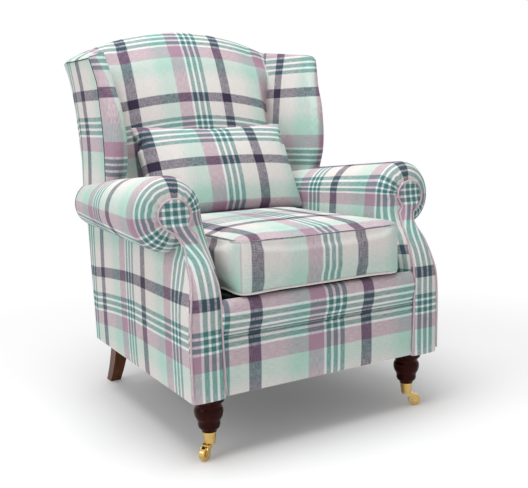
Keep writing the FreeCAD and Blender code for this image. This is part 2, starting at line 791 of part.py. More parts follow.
def wing_stick(outer, front):
    return plan(f"{outer} - wing_pad - wing_wood", f"{outer} - wing_pad",
                f"{front} + wing_edge_pad", f"{front} + wing_edge_pad + wing_wood_deep")


wing_post = pair("wing_post", cut("wing_post_seated", lofted("wing_post_body", "XY_Plane", [
    ("wing_a_height - 10", wing_stick("wing_a_outer", "wing_a_front")),
    ("(wing_b_height + wing_c_height) / 2", wing_stick("wing_b_outer", "wing_b_front")),
    ("wing_board_foot", wing_stick("wing_head_outer", "wing_head_front")),
], True), arm_board))
board_rear = f"({post_back('(wing_board_foot + wing_board_thick)')} + 4)"
wing_board = pair("wing_top_rail", cut("wing_board", prism("wing_board_plain", "XY_Plane", [
    ("wing_head_outer - wing_pad - wing_wood", "wing_head_front + wing_edge_pad"),
    ("wing_head_outer - wing_pad", "wing_head_front + wing_edge_pad"),
    ("wing_head_outer - wing_pad", board_rear),
    ("post_outer + fit_gap", board_rear),
], "wing_board_foot", "wing_board_thick"), beyond_back))

# webbing: seat straps over the rails, back straps over the posts' faces

seat_straps = []
for i in range(6):
    seat_straps.append(box(f"seat_strap_{i}", (
        "strap_wide", f"{y_bar} + rail_thick - rail_front - 10", "strap_thick"), (
        f"seat_strap_pitch * {i - 2.5} - strap_wide / 2", "rail_front + 5", "rail_top")))
for i in range(5):
    front = f"(cross_strap_pitch * {i} - cross_strap_first)"
    wide = f"({frame_at(front + ' + strap_wide')} - 3)"
    seat_straps.append(box(f"cross_strap_{i}", (
        f"2 * {wide}", "strap_wide", "strap_thick"), (f"-{wide}", front, "rail_top + strap_thick")))
node("seat_webbing", compound("seat_strap_set", seat_straps))

upright_band = raked("upright_band", "lower_rail_foot", "crest_end", "-strap_thick", "0", "post_outer")
level_band = raked("level_band", "lower_rail_foot", "crest_end", "-2 * strap_thick", "-strap_thick", "post_outer")
uprights = [box(f"upright_{i}", ("strap_wide", "front_depth + rear_depth", "crest_foot + strap_lap - lower_rail_foot - 5"), (
    f"back_strap_pitch * {i - 1.5} - strap_wide / 2", "0", "lower_rail_foot + 5")) for i in range(4)]
levels = [box(f"level_{i}", ("2 * post_outer - 6", "front_depth + rear_depth", "strap_wide"), (
    "3 - post_outer", "0", f"lower_rail_foot + tack_rail_high + 20 + back_strap_pitch * {i * 0.95}")) for i in range(4)]
node("back_webbing", compound("back_strap_set", [
    common("upright_straps", compound("upright_set", uprights), upright_band),
    common("level_straps", compound("level_set", levels), level_band),
]))

# arms: a facing over the post, a padded roll with its turned-in end, and the thin outside arm

facing = pair("arm_facing", common("facing_body", prism("facing_outline", "XZ_Plane", [
    ("facing_inner", "base_height"),
    (side_at("(0 - front_depth)"), "base_height"),
    (side_at("(0 - front_depth)"), "sweep_foot - 22"),
    ("neck_middle + neck_half", "neck_height", arch("sweep_foot - 22 - neck_height", "24"), 1),
    ("disc_middle + disc_radius * cos(55 deg)", "scroll_height - disc_radius * sin(55 deg)", "disc_radius * 0.65", -1),
    ("disc_middle", "scroll_height + disc_radius", "disc_radius", 1),
    ("disc_middle - disc_radius", "scroll_height", "disc_radius", 1),
    ("facing_knee_inner", "facing_knee"),
], "-front_depth - 10", "front_depth"), prism("facing_band", "YZ_Plane", [
    (foot[0], "base_height"),
    foot,
    (*half, "sweep_radius - facing_thick", -1),
    (*head, "sweep_radius + facing_thick", 1),
    (head[0], "scroll_height + 2 * disc_radius"),
    ("scroll_back - front_depth", "scroll_height + 2 * disc_radius"),
    ("scroll_back - front_depth", "sweep_head"),
    ("sweep_half - front_depth", "sweep_foot + sweep_rise", "sweep_radius", -1),
    ("-front_depth", "sweep_foot", "sweep_radius", 1),
    ("-front_depth", "base_height"),
], "0", "front_depth + 20")))


def arm_section(depth, middle, height, radius, inner):
    """The arm cut across: a flat inside, the roll from its crease round to the inside, the flat outside."""
    outer = frame_at(depth)
    crease = f"(0 deg - acos(({outer} - {middle}) / {radius}))"
    return depth, [
        (inner, "arm_pad_foot"),
        (outer, "arm_pad_foot"),
        *ring(middle, height, radius, crease, "180 deg", 10),
    ]


arm_form = lofted("arm_form", "XZ_Plane", [
    arm_section("(0 - scroll_end)", "scroll_middle", "scroll_height", "scroll_radius", "arm_inner_front"),
    arm_section("roll_rear", "roll_rear_middle", "roll_rear_height", "roll_rear_radius", "arm_inner_rear"),
], True)
dome_rim = ("-scroll_end - dome_depth", "disc_radius + 5")
dome = turned("scroll_dome", "YZ_Plane", [
    ("-scroll_end", "0"),
    ("-scroll_end - dome_depth", "0"),
    dome_rim,
    *bowed(dome_rim, ("-scroll_end", "scroll_radius"), "0.2", 2),
], "scroll_middle", lift="scroll_height", axis="H_Axis")
behind_facing = prism("behind_facing", "YZ_Plane", [
    (foot[0], "base_height"),
    ("front_depth", "base_height"),
    ("front_depth", "crest_height"),
    (head[0], "crest_height"),
    head,
    (*half, "sweep_radius + facing_thick", -1),
    (*foot, "sweep_radius - facing_thick", 1),
], "0", "front_depth + 20")
crease = "(scroll_height - scroll_radius)"
arm_front = common("arm_front", common("arm_front_neck", prism("arm_front_block", "XZ_Plane", [
    ("arm_inner_front", "seat_top"),
    (frame_at("(0 - scroll_end)"), "seat_top"),
    (frame_at("(0 - scroll_end)"), f"{crease} + 1"),
    ("neck_middle + neck_half", f"{crease} + 30"),
    ("facing_knee_inner", f"{crease} + 60"),
    ("arm_inner_front", f"{crease} + 60"),
], "-front_depth", "front_depth - scroll_end"), prism("arm_front_plan", "XY_Plane", [
    ("arm_inner_front", "-scroll_end"),
    ("arm_inner_front", "rail_back"),
    ("facing_knee_inner", "-front_depth"),
    ("front_half", "-front_depth"),
    ("front_half", "-scroll_end"),
], "seat_top", "scroll_height - seat_top")), behind_facing)
arm_whole = fused("arm_whole", cut("arm_trimmed", arm_form, beyond_back), dome, arm_front)
outside_strip = prism("outside_strip", "XY_Plane", [
    (frame_at("(0 - front_depth)"), "-front_depth"),
    (side_at("(0 - front_depth)"), "-front_depth"),
    (side_at("roll_rear"), "roll_rear"),
    (frame_at("roll_rear"), "roll_rear"),
], "base_height", f"{crease} + 14 - base_height")
outside_arm = pair("outside_arm", cut(
    "outside_arm_body", common("outside_arm_swept", outside_strip, behind_facing), arm_form, dome, beyond_back))
arm_pad = pair("arm_pad", cut("arm_pad_body", arm_whole, facing, arm_post, arm_board, arm_tack,
                              wing_post, wing_stile, back_room))


def wing_section(level):
    inner, outer, front = (f"wing_{level}_{side}" for side in ("inner", "outer", "front"))
    nose = f"({outer} - {inner}) / 2"
    return f"wing_{level}_height", [
        ("wing_inner_rear", "wing_inner_depth"),
        *ring(f"({outer} + {inner}) / 2", f"({front} + {nose})", nose, "180 deg", "360 deg", 4),
        (outer, "front_depth + 60"),
        ("wing_inner_rear", "front_depth + 60"),
    ]


wing_whole = common("wing_whole", lofted("wing_form", "XY_Plane", [wing_section(level) for level in "abcde"], True), under_arch)
wing_pad = pair("wing_pad", cut("wing_pad_body", wing_whole, beyond_back, arm_form, wing_post,
                                wing_stile, wing_board, back_room, crest_rail, arm_board))


def back_section(across, bulge, drop):
    """Side view of the back's padding: out over the lumbar, then up and over the crest rail."""
    top = f"(crest_height - {drop})"
    lumbar = (f"lumbar_front + {drop} * 0.2", "lumbar_height")
    brow = ("crest_front", f"{top} - crest_roll")
    ridge = ("crest_front + crest_roll * 0.7", top)
    nape = (post_back(f"({top} - crest_roll * 0.6)"), f"{top} - crest_roll * 0.6")
    return across, [
        (f"{post_face('back_pad_foot')} - 2 * strap_thick", "back_pad_foot"),
        ("cushion_rear + fit_gap", "back_pad_foot"),
        lumbar,
        *bowed(lumbar, brow, bulge, 4),
        *bowed(brow, ridge, "0.18", 2),
        *bowed(ridge, nape, "0.14", 2),
        (post_back("crest_foot"), "crest_foot"),
        (f"{post_face('crest_foot')} - 2 * strap_thick", "crest_foot"),
    ]


def arch_drop(across):
    """How far the arched top has fallen at a distance from the middle."""
    return f"(crest_radius - sqrt(crest_radius ^ 2 - ({across}) ^ 2))"


back_whole = lofted("back_form", "YZ_Plane", [back_section(f"post_outer * {share}", crown, arch_drop(f"post_outer * {share}"))
                                              for share, crown in BACK_CROWN], True)
wing_twin = mirrored("wing_whole_twin", wing_whole)
arm_twin = mirrored("arm_form_twin", arm_form)
node("inside_back", cut("inside_back_body", back_whole, crest_rail, back_room, wing_whole, wing_twin, arm_form, arm_twin))
node("outside_back", common("outside_back_body", common("outside_back_arch", prism("outside_back_outline", "XZ_Plane", [
    ("-rear_half", "base_height"),
    ("rear_half", "base_height"),
    ("stile_waist + cover_thick", "stile_waist_height"),
    ("wing_head_outer - 2", "wing_board_foot"),
    ("crest_half", "crest_height - crest_rise"),
    ("crest_half - 6", "crest_height"),
    ("6 - crest_half", "crest_height"),
    ("-crest_half", "crest_height - crest_rise"),
    ("2 - wing_head_outer", "wing_board_foot"),
    ("-stile_waist - cover_thick", "stile_waist_height"),
], "0", "2 * front_depth"), under_arch), prism("outside_back_band", "YZ_Plane", [
    (post_back("base_height"), "base_height"),
    (back_at("base_height"), "base_height"),
    (back_at("crest_height"), "crest_height"),
    (post_back("crest_height"), "crest_height"),
], "-crest_half * 1.1", "crest_half * 2.2")))

# seat: platform, padded lip, front panel with its double piping, dust cover

node("seat_platform", prism("platform", "YZ_Plane", [
    ("rail_back", "rail_top + 2 * strap_thick"),
    ("leg_face - 2", "rail_top + 2 * strap_thick"),
    ("leg_face - 2", "back_pad_foot"),
    ("cushion_rear + fit_gap", "back_pad_foot"),
    ("cushion_rear + fit_gap", "seat_top"),
    ("rail_back", "seat_top"),
], "-platform_half", "2 * platform_half"))
node("front_lip", prism("lip", "YZ_Plane", [
    ("rail_back", "rail_top + 2 * strap_thick"),
    ("rail_front", "rail_top + 2 * strap_thick"),
    ("rail_front", "piping_height + 2 * piping_radius"),
    ("panel_front", "piping_height + 2 * piping_radius"),
    ("panel_front - lip_proud", "piping_height + 40", "60", -1),
    ("panel_front + 14", "seat_top - 2", "44", -1),
    ("rail_back", "seat_top"),
], "-facing_inner", "2 * facing_inner"))
node("front_panel", prism("panel", "YZ_Plane", [
    ("panel_front", "base_height"),
    ("panel_front + panel_thick", "base_height"),
    ("panel_front + panel_thick", "piping_height - 2 * piping_radius"),
    ("panel_front", "piping_height - 2 * piping_radius"),
], "-facing_inner", "2 * facing_inner"))
node("rail_piping", compound("piping_rows", [
    cylinder(f"piping_row_{i}", "piping_radius", "2 * facing_inner", "-facing_inner", "panel_front + 1",
             f"piping_height + {i} * piping_radius", (1, 0, 0)) for i in (-1, 1)]))
node("dust_cover", cut("dust_cover_body", prism("dust_sheet", "XY_Plane", [
    (f"-{frame_at('rail_front')}", "rail_front"),
    (frame_at("rail_front"), "rail_front"),
    (frame_at(y_rear), y_rear),
    (f"-{frame_at(y_rear)}", y_rear),
], "base_height - dust_thick", "dust_thick"), *[
    box(f"dust_notch_{i}", (f"{half} * 2", f"{half} * 2", "dust_thick * 3"), (
        f"{side} * {across} - {half}", f"{depth} - {half}", "base_height - dust_thick * 2"))
    for i, (side, across, depth, half) in enumerate([
        (1, "leg_across", "(0 - leg_forward)", "(leg_collar + 2)"),
        (-1, "leg_across", "(0 - leg_forward)", "(leg_collar + 2)"),
        (1, "(post_outer - rear_leg_wide / 2)", "(rear_depth - rear_leg_deep / 2)", "(rear_leg_deep / 2 + 4)"),
        (-1, "(post_outer - rear_leg_wide / 2)", "(rear_depth - rear_leg_deep / 2)", "(rear_leg_deep / 2 + 4)"),
    ])]))


def boxed(name, inset, corner_chords):
    """The seat cushion's form: corners proud of drawn-in sides, a crowned top, a flat underside."""
    wide, front, rear = f"(cushion_half - {inset})", f"({inset} - cushion_front)", f"(cushion_rear - {inset})"
    foot_z, edge_z, corner = f"(cushion_foot + {inset})", f"(cushion_edge - {inset})", "cushion_corner"
    pull_x = arch(f"{wide} - {corner}", "draw_in / 2")
    pull_y = arch(f"({rear} - {front}) / 2 - {corner}", "draw_in")
    turns = [
        (f"({wide} - {corner})", f"({front} + {corner})", "270 deg"),
        (f"({wide} - {corner})", f"({rear} - {corner})", "0 deg"),
        (f"({corner} - {wide})", f"({rear} - {corner})", "90 deg"),
        (f"({corner} - {wide})", f"({front} + {corner})", "180 deg"),
    ]
    corners = []
    for i, (across, up, turn) in enumerate(turns):
        first, *rest = ring(across, up, corner, turn, f"({turn} + 90 deg)", corner_chords)
        corners += [(*first, pull_y if i % 2 else pull_x, -1), *rest]
    outline = prism(name + "_plan", "XY_Plane", corners, f"{foot_z} - 5", f"{edge_z} - {foot_z} + 60")

    def crown(across, rise):
        front_edge, rear_edge = (f"({front} - 6)", edge_z), (f"({rear} + 6)", edge_z)
        return across, [
            (front_edge[0], foot_z),
            (rear_edge[0], foot_z),
            rear_edge,
            *bowed(rear_edge, front_edge, f"0 - {rise} / ({rear} - {front})", 4),
        ]

    return common(name, outline, lofted(name + "_crown", "YZ_Plane", [
        crown(f"-{wide} - 6", "cushion_crown * 0.2"),
        crown("0", "cushion_crown"),
        crown(f"{wide} + 6", "cushion_crown * 0.2"),
    ], True))


cushion = boxed("cushion", "0", 3)
node("seat_cushion_cover", cut("cushion_cover", cushion, boxed("cushion_inside", "cushion_skin", 1)))
node("seat_cushion_core", boxed("cushion_core", "(cushion_skin + fit_gap)", 1))


# the loose cushion: two lenses that cross, their outline drawn in between its corners


def leaned(thing):
    """Drawn upright about its own middle, then leaned on the back."""
    thing.setExpression("Placement.Base.y", spelled("pillow_middle"))
    thing.setExpression("Placement.Base.z", spelled("pillow_rise"))
    thing.Placement.Rotation = FreeCAD.Rotation(FreeCAD.Vector(1, 0, 0), -value("pillow_tilt"))
    return thing


def lens(name, plane, half, long_half):
    """Two arcs that meet in knife edges, carried across the cushion."""
    bend = arch(half, "pillow_thick / 2")
    tips = [("0", f"0 - {half}"), ("0", half)] if plane == "YZ_Plane" else [(f"0 - {half}", "0"), (half, "0")]
    return leaned(prism(name, plane, [(*tip, bend, 1) for tip in tips], f"0 - {long_half}", f"2 * {long_half}"))


pull_across = arch("pillow_half", "pillow_draw")
pull_up = arch("pillow_high / 2", "pillow_draw")
pillow_outline = leaned(prism("pillow_outline", "XZ_Plane", [
    ("pillow_half", "0 - pillow_high / 2", pull_across, -1),
    ("pillow_half", "pillow_high / 2", pull_up, -1),
    ("0 - pillow_half", "pillow_high / 2", pull_across, -1),
    ("0 - pillow_half", "0 - pillow_high / 2", pull_up, -1),
], "0 - pillow_thick", "2 * pillow_thick"))
pillow_whole = common("pillow_whole", common("pillow_swell", pillow_outline, lens(
    "pillow_lens", "YZ_Plane", "(pillow_high / 2 + 6)", "pillow_half")), lens(
    "pillow_cross_lens", "XY_Plane", "(pillow_half + 6)", "pillow_high"))


def feather_pad(name, grow):
    """The pad inside, a flattened six-sided lens."""
    half, thick = f"(pad_high / 2 + {grow})", f"(pad_thick / 2 + {grow})"
    return leaned(prism(name, "YZ_Plane", [
        ("0", f"0 - {half}"),
        (thick, f"0 - {half} / 3"),
        (thick, f"{half} / 3"),
        ("0", half),
        (f"0 - {thick}", f"{half} / 3"),
        (f"0 - {thick}", f"0 - {half} / 3"),
    ], f"0 - pad_half - {grow}", f"2 * (pad_half + {grow})"))


node("scatter_cushion_cover", cut("pillow_cover", pillow_whole, feather_pad("pad_room", "fit_gap")))
node("scatter_cushion_fill", feather_pad("feather_pad", "0"))

doc.recompute()
failed = [thing.Name for thing in doc.Objects if {"Invalid", "Error"} & set(thing.State)]
if failed:
    raise RuntimeError("not recomputed: " + ", ".join(failed))
for name, thing in pieces.items():
    if thing.Shape.isNull() or not thing.Shape.isValid():
        raise RuntimeError("no sound shape: " + name)

os.makedirs("parts", exist_ok=True)
for name, thing in pieces.items():
    thing.Shape.exportStep(f"parts/{name}.step")
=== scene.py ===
import json

import bmesh
import bpy
import numpy as np
from mathutils import Matrix, Vector
from mathutils.bvhtree import BVHTree


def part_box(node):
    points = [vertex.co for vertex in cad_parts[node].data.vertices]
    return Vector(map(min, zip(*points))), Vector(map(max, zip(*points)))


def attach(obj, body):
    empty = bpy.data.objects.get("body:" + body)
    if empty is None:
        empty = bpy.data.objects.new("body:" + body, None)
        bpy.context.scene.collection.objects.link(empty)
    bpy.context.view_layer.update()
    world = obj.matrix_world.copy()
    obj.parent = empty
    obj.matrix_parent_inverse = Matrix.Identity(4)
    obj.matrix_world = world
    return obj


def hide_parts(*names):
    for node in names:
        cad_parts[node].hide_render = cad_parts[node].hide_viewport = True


# A scroll-armed wing chair in a woven check, on turned front legs with brass castors.
# Metres, Z up, the front towards -Y. Cloth pieces carry a UV map that says where on the woven length they were cut.

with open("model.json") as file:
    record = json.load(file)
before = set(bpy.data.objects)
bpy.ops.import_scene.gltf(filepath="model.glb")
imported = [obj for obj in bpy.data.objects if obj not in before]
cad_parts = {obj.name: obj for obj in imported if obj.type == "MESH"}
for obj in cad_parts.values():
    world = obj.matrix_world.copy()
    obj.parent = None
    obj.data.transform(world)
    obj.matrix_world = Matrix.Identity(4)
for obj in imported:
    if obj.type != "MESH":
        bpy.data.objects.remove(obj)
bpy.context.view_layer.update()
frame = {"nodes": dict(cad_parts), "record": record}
nodes = frame["nodes"]

WARP, WEFT = 0.300, 0.280  # the check's repeat across and along the cloth


# curves and profiles


def eased(t):
    """3t^2 - 2t^3 between 0 and 1."""
    t = np.clip(t, 0, 1)
    return t * t * (3 - 2 * t)


def hermite(at, places, values):
    """A cubic through measured places; its slopes are central differences."""
    at, places, values = np.asarray(at, float), np.asarray(places, float), np.asarray(values, float)
    slope = np.gradient(values, places)
    i = np.clip(np.searchsorted(places, at) - 1, 0, len(places) - 2)
    span = places[i + 1] - places[i]
    t = (np.clip(at, places[0], places[-1]) - places[i]) / span
    return ((2 * t**3 - 3 * t**2 + 1) * values[i] + (t**3 - 2 * t**2 + t) * span * slope[i]
            + (3 * t**2 - 2 * t**3) * values[i + 1] + (t**3 - t**2) * span * slope[i + 1])


def spaced(path, step):
    """The path walked again in equal steps of about that length."""
    run = np.r_[0, np.cumsum(np.linalg.norm(np.diff(path, axis=0), axis=1))]
    at = np.linspace(0, run[-1], max(int(run[-1] / step), 2) + 1)
    return np.stack([np.interp(at, run, path[:, k]) for k in range(3)], 1)


def walked(points, axis):
    """Distance walked along one axis of a grid of points."""
    steps = np.linalg.norm(np.diff(points, axis=axis), axis=-1)
    return np.concatenate([np.zeros_like(np.take(steps, [0], axis)), np.cumsum(steps, axis)], axis)


def side_line(y):
    """Half width of the seat's frame with its cover: it narrows evenly to the back."""
    return 0.362 - 0.026 / 0.683 * (y + 0.373)


def back_plane(z):
    """Depth of the outside back: it leans 78 mm over its height."""
    return 0.310 + 0.078 / 0.890 * (z - 0.152)


def arch(x):
    """Height of the arched top: a circle of 774 mm radius whose crown is at 1.042 m."""
    return 1.042 - (0.774 - np.sqrt(0.774**2 - np.minimum(np.abs(x), 0.45)**2))


def facing_depth(z):
    """Depth of a facing's front: upright, then two arcs that swing it 90 mm back up to the scroll."""
    rise, half, radius = 0.119, 0.045, 0.1798
    low, high = np.clip(z - 0.352, 0, rise), np.clip(0.590 - z, 0, rise)
    lower = radius - np.sqrt(radius**2 - low**2)
    upper = 2 * half - (radius - np.sqrt(radius**2 - high**2))
    return -0.373 + np.where(z < 0.352 + rise, lower, upper)


# meshes


def quads(rows, columns, base=0):
    """The four-sided faces of a grid of points."""
    index = np.arange(rows * columns).reshape(rows, columns) + base
    return np.stack([index[:-1, :-1], index[:-1, 1:], index[1:, 1:], index[1:, :-1]], -1).reshape(-1, 4)


def merged(mesh, distance, closed=True):
    """Points closer than that distance become one, and a closed shell's faces are turned outwards."""
    work = bmesh.new()
    work.from_mesh(mesh)
    bmesh.ops.remove_doubles(work, verts=work.verts, dist=distance)
    if closed:
        bmesh.ops.recalc_face_normals(work, faces=work.faces)
        if work.calc_volume(signed=True) < 0:
            bmesh.ops.reverse_faces(work, faces=work.faces)
    work.to_mesh(mesh)
    work.free()


def smoothed(mesh):
    mesh.polygons.foreach_set("use_smooth", np.ones(len(mesh.polygons), bool))


def linked(name, data):
    thing = bpy.data.objects.new(name, data)
    bpy.context.scene.collection.objects.link(thing)
    return thing


def finished(piece, material, body, replaces=()):
    """The piece's material, the body it rides and the nodes it stands for."""
    piece.data.materials.clear()
    piece.data.materials.append(material)
    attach(piece, body)
    if replaces:
        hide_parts(*replaces)
    return piece


def meshed(name, grids, material, body, replaces=(), closed=True, sharp=None):
    """One piece from grids of points, each with its places on the cloth."""
    points, faces, places, base = [], [], [], 0
    for spots, cloth in grids:
        rows, columns = spots.shape[:2]
        faces.append(quads(rows, columns, base))
        points.append(spots.reshape(-1, 3))
        places.append(np.broadcast_to(cloth, (rows, columns, 2)).reshape(-1, 2))
        base += rows * columns
    points, faces, places = np.vstack(points), np.vstack(faces), np.vstack(places)
    mesh = bpy.data.meshes.new(name)
    mesh.from_pydata(points.tolist(), [], faces.tolist())
    mesh.uv_layers.new(name="cloth").data.foreach_set("uv", places[faces.ravel()].ravel())
    merged(mesh, 2e-5, closed)
    smoothed(mesh)
    if sharp:
        mesh.set_sharp_from_angle(angle=sharp)
    return finished(linked(name, mesh), material, body, replaces)


def covered(name, grids, body="chair", replaces=(), sharp=None):
    """A piece covered in the check."""
    return meshed(name, grids, cloth, body, replaces, sharp=sharp)


def mirrored(grid):
    """The left piece's grid from the right one's."""
    spots, cloth = grid
    return spots * (-1, 1, 1), cloth


def plain(spots):
    """A grid whose finish doesn't follow the cloth."""
    return spots, np.zeros((*spots.shape[:2], 2))


def capped(spots, cloth):
    """A tube of closed rows, its ends drawn in to their middles."""
    first, last = (np.broadcast_to(spots[row].mean(0), spots[row].shape)[None] for row in (0, -1))
    return np.concatenate([first, spots, last]), np.concatenate([cloth[:1], cloth, cloth[-1:]])


def tube(path, radius, sides=10, closed=False, start=0.0, level=0.03):
    """A round section of that radius carried along a path, square to it and without twist. Its cloth place stays
    near start and level, so that the whole cord shows one yarn."""
    ahead = np.roll(path, -1, 0) - np.roll(path, 1, 0)
    if not closed:
        ahead[0], ahead[-1] = path[1] - path[0], path[-1] - path[-2]
    ahead /= np.linalg.norm(ahead, axis=1)[:, None]
    up = np.zeros_like(path)
    guess = np.array([0, 0, 1.0]) if abs(ahead[0, 2]) < 0.9 else np.array([0, 1.0, 0])
    for i, t in enumerate(ahead):
        guess = guess - t * (guess @ t)
        guess = guess / np.linalg.norm(guess)
        up[i] = guess
    across = np.cross(ahead, up)
    turn = np.linspace(0, 2 * np.pi, sides + 1)
    radius = np.broadcast_to(radius, len(path))[:, None, None]
    spots = path[:, None] + radius * (up[:, None] * np.cos(turn)[:, None] + across[:, None] * np.sin(turn)[:, None])
    run = np.r_[0, np.cumsum(np.linalg.norm(np.diff(path, axis=0), axis=1))]
    cloth = np.stack(np.broadcast_arrays(start + turn * 0.001, level + 0.01 * np.sin(run[:, None] * 9)), -1)
    if closed:
        spots = np.concatenate([spots, spots[:1]])
        cloth = np.concatenate([cloth, cloth[:1]])
        return spots, cloth
    return capped(spots, cloth)


# shader groups

FINISH = (("Color", "Color"), ("Height", "Float"), ("Roughness", "Float"))  # what each finish puts out


def group(name, *inputs):
    """A finish's node group. Each input is its label, its kind and, where it has one, its first value."""
    tree = bpy.data.node_groups.new(name, "ShaderNodeTree")
    for direction, sockets in (("INPUT", inputs), ("OUTPUT", FINISH)):
        for label, kind, *start in sockets:
            socket = tree.interface.new_socket(label, in_out=direction, socket_type="NodeSocket" + kind)
            if start:
                socket.default_value = start[0]
    return tree, tree.nodes.new("NodeGroupInput").outputs, tree.nodes.new("NodeGroupOutput")


def fed(tree, made, given):
    """The node, with each input that is given by name or number linked to a socket or set to a plain value."""
    for label, thing in given.items():
        if isinstance(thing, bpy.types.NodeSocket):
            tree.links.new(thing, made.inputs[label])
        else:
            made.inputs[label].default_value = thing
    return made


def node(tree, kind, given=None, operation=None):
    made = tree.nodes.new("ShaderNode" + kind)
    if operation:
        made.operation = operation
    return fed(tree, made, given or {})


def math(tree, kind, *terms):
    """One arithmetic step on sockets or plain numbers."""
    return node(tree, "Math", dict(enumerate(terms)), kind).outputs[0]


def ranged(tree, value, slope, start):
    """Slope times the value, plus the start."""
    return math(tree, "ADD", math(tree, "MULTIPLY", value, slope), start)


def noise(tree, vector, scale=1.0, detail=2.0, rough=0.5):
    speckle = node(tree, "TexNoise", {"Vector": vector, "Scale": scale, "Detail": detail, "Roughness": rough})
    return speckle.outputs["Fac"]


def stretched(tree, vector, scale):
    return node(tree, "Mapping", {"Vector": vector, "Scale": scale}).outputs[0]


def mix_colour(tree, factor, first, second):
    blend = node(tree, "Mix")
    blend.data_type = "RGBA"
    return fed(tree, blend, {"Factor": factor, 6: first, 7: second}).outputs[2]


# yarns, as they look in daylight: the weave mixes them as they are written and makes the result linear
CREAM = (0.870, 0.850, 0.835)
WHITE = (0.930, 0.940, 0.940)
DARK = (0.205, 0.170, 0.255)
PINK = (0.655, 0.530, 0.600)
TEAL = (0.270, 0.450, 0.445)
MINT = (0.685, 0.820, 0.770)
# where each yarn starts on a repeat of 300 mm, in millimetres from the middle of the dark stripe
STRIPES = ((0, DARK), (15, CREAM), (63, TEAL), (75, WHITE), (82, TEAL), (94, WHITE), (101, TEAL), (113, WHITE),
           (120, PINK), (162, MINT), (215, CREAM), (285, DARK))
EDGE, MINT_FADE = 1.6, 38.0  # over how many millimetres one yarn gives way to the next
TWILL = 2100.0  # radians of the twill's ripple in a metre


def striped(tree, where, repeat):
    """A repeat's stripes as a colour ramp: each edge is two stops a little apart, and mint fades into cream."""
    ramp = node(tree, "ValToRGB", {0: math(tree, "FRACT", math(tree, "DIVIDE", where, repeat))})
    stops = ramp.color_ramp.elements
    marks = [(0.0, DARK)]
    for (_, before), (start, yarn) in zip(STRIPES, STRIPES[1:]):
        soft = MINT_FADE if before == MINT else EDGE
        marks += [((start - soft / 2) / 300, before), ((start + soft / 2) / 300, yarn)]
    for k, (spot, yarn) in enumerate(marks):
        stop = stops[k] if k < 2 else stops.new(spot)
        stop.position = spot
        stop.color = (*yarn, 1)
    return ramp.outputs[0]


def build_check():
    """The woven check: a colour ramp for each set of yarns, crossed half and half, with a fine twill and slubs.
    Both sets wander a few millimetres."""
    tree, given, out = group("woven check", ("Cloth", "Vector"))
    place = given["Cloth"]
    wander = node(tree, "TexNoise", {"Vector": place, "Scale": 9.0}).outputs["Color"]
    bent = node(tree, "VectorMath", {0: wander, 1: (0.0035, 0.0035, 0), 2: place}, "MULTIPLY_ADD").outputs[0]
    across, up, _ = node(tree, "SeparateXYZ", {0: bent}).outputs
    diagonal = math(tree, "SINE", math(tree, "MULTIPLY", math(tree, "ADD", across, up), TWILL))
    along = noise(tree, stretched(tree, place, (1100, 60, 1)))
    over = noise(tree, stretched(tree, place, (60, 1100, 1)))
    slub = math(tree, "SUBTRACT", along, over)
    share = ranged(tree, slub, 0.9, ranged(tree, diagonal, 0.06, 0.5))
    crossed = mix_colour(tree, share, striped(tree, across, WARP), striped(tree, up, WEFT))
    mottle = ranged(tree, math(tree, "ADD", along, over), 0.16, 0.84)
    tinted = node(tree, "VectorMath", {0: crossed, "Scale": mottle}, "SCALE").outputs[0]
    linear = node(tree, "Gamma", {0: tinted, 1: 2.2}).outputs[0]
    fuzz = noise(tree, stretched(tree, place, (700, 700, 1)))
    fed(tree, out, {"Color": linear, "Height": ranged(tree, diagonal, 0.25, fuzz),
                    "Roughness": ranged(tree, fuzz, 0.12, 0.84)})
    return tree


def build_grain():
    """Wood grain along Z: rings stretched along the piece, pores on top of them."""
    tree, given, out = group("polished grain", ("Place", "Vector"), ("Light", "Color", (0.2, 0.08, 0.04, 1)),
                             ("Deep", "Color", (0.05, 0.012, 0.008, 1)))
    rings = noise(tree, stretched(tree, given["Place"], (70, 70, 4)), 1.0, 4.0, 0.6)
    pores = noise(tree, stretched(tree, given["Place"], (900, 900, 25)))
    colour = mix_colour(tree, ranged(tree, rings, 1.6, -0.35), given["Deep"], given["Light"])
    fed(tree, out, {"Color": colour, "Height": pores, "Roughness": ranged(tree, pores, 0.15, 0.14)})
    return tree


def build_tarnish():
    """Metal's handling marks: broad clouds that dull the polish, fine scratches for height."""
    tree, given, out = group("handled metal", ("Place", "Vector"), ("Bright", "Color", (0.9, 0.7, 0.3, 1)),
                             ("Dull", "Color", (0.6, 0.4, 0.15, 1)), ("Polish", "Float", 0.15))
    clouds = noise(tree, given["Place"], 90.0, 4.0, 0.6)
    scratches = noise(tree, stretched(tree, given["Place"], (1500, 200, 1500)))
    fed(tree, out, {"Color": mix_colour(tree, clouds, given["Bright"], given["Dull"]), "Height": scratches,
                    "Roughness": ranged(tree, clouds, 0.18, given["Polish"])})
    return tree


def build_weave():
    """A plain weave over Object coordinates: crossed ripples, with speckled yarns."""
    tree, given, out = group("plain weave", ("Place", "Vector"), ("Light", "Color", (0.5, 0.4, 0.25, 1)),
                             ("Deep", "Color", (0.3, 0.22, 0.13, 1)), ("Pitch", "Float", 2500.0))
    x, y, z = (math(tree, "SINE", math(tree, "MULTIPLY", way, given["Pitch"]))
               for way in node(tree, "SeparateXYZ", {0: given["Place"]}).outputs)
    ripple = math(tree, "ADD", math(tree, "ADD", x, y), z)
    specks = noise(tree, given["Place"], 600.0, 3.0)
    share = ranged(tree, ripple, 0.12, specks)
    fed(tree, out, {"Color": mix_colour(tree, share, given["Deep"], given["Light"]), "Height": share,
                    "Roughness": ranged(tree, specks, 0.1, 0.82)})
    return tree


CHECK, GRAIN, TARNISH, WEAVE = build_check(), build_grain(), build_tarnish(), build_weave()


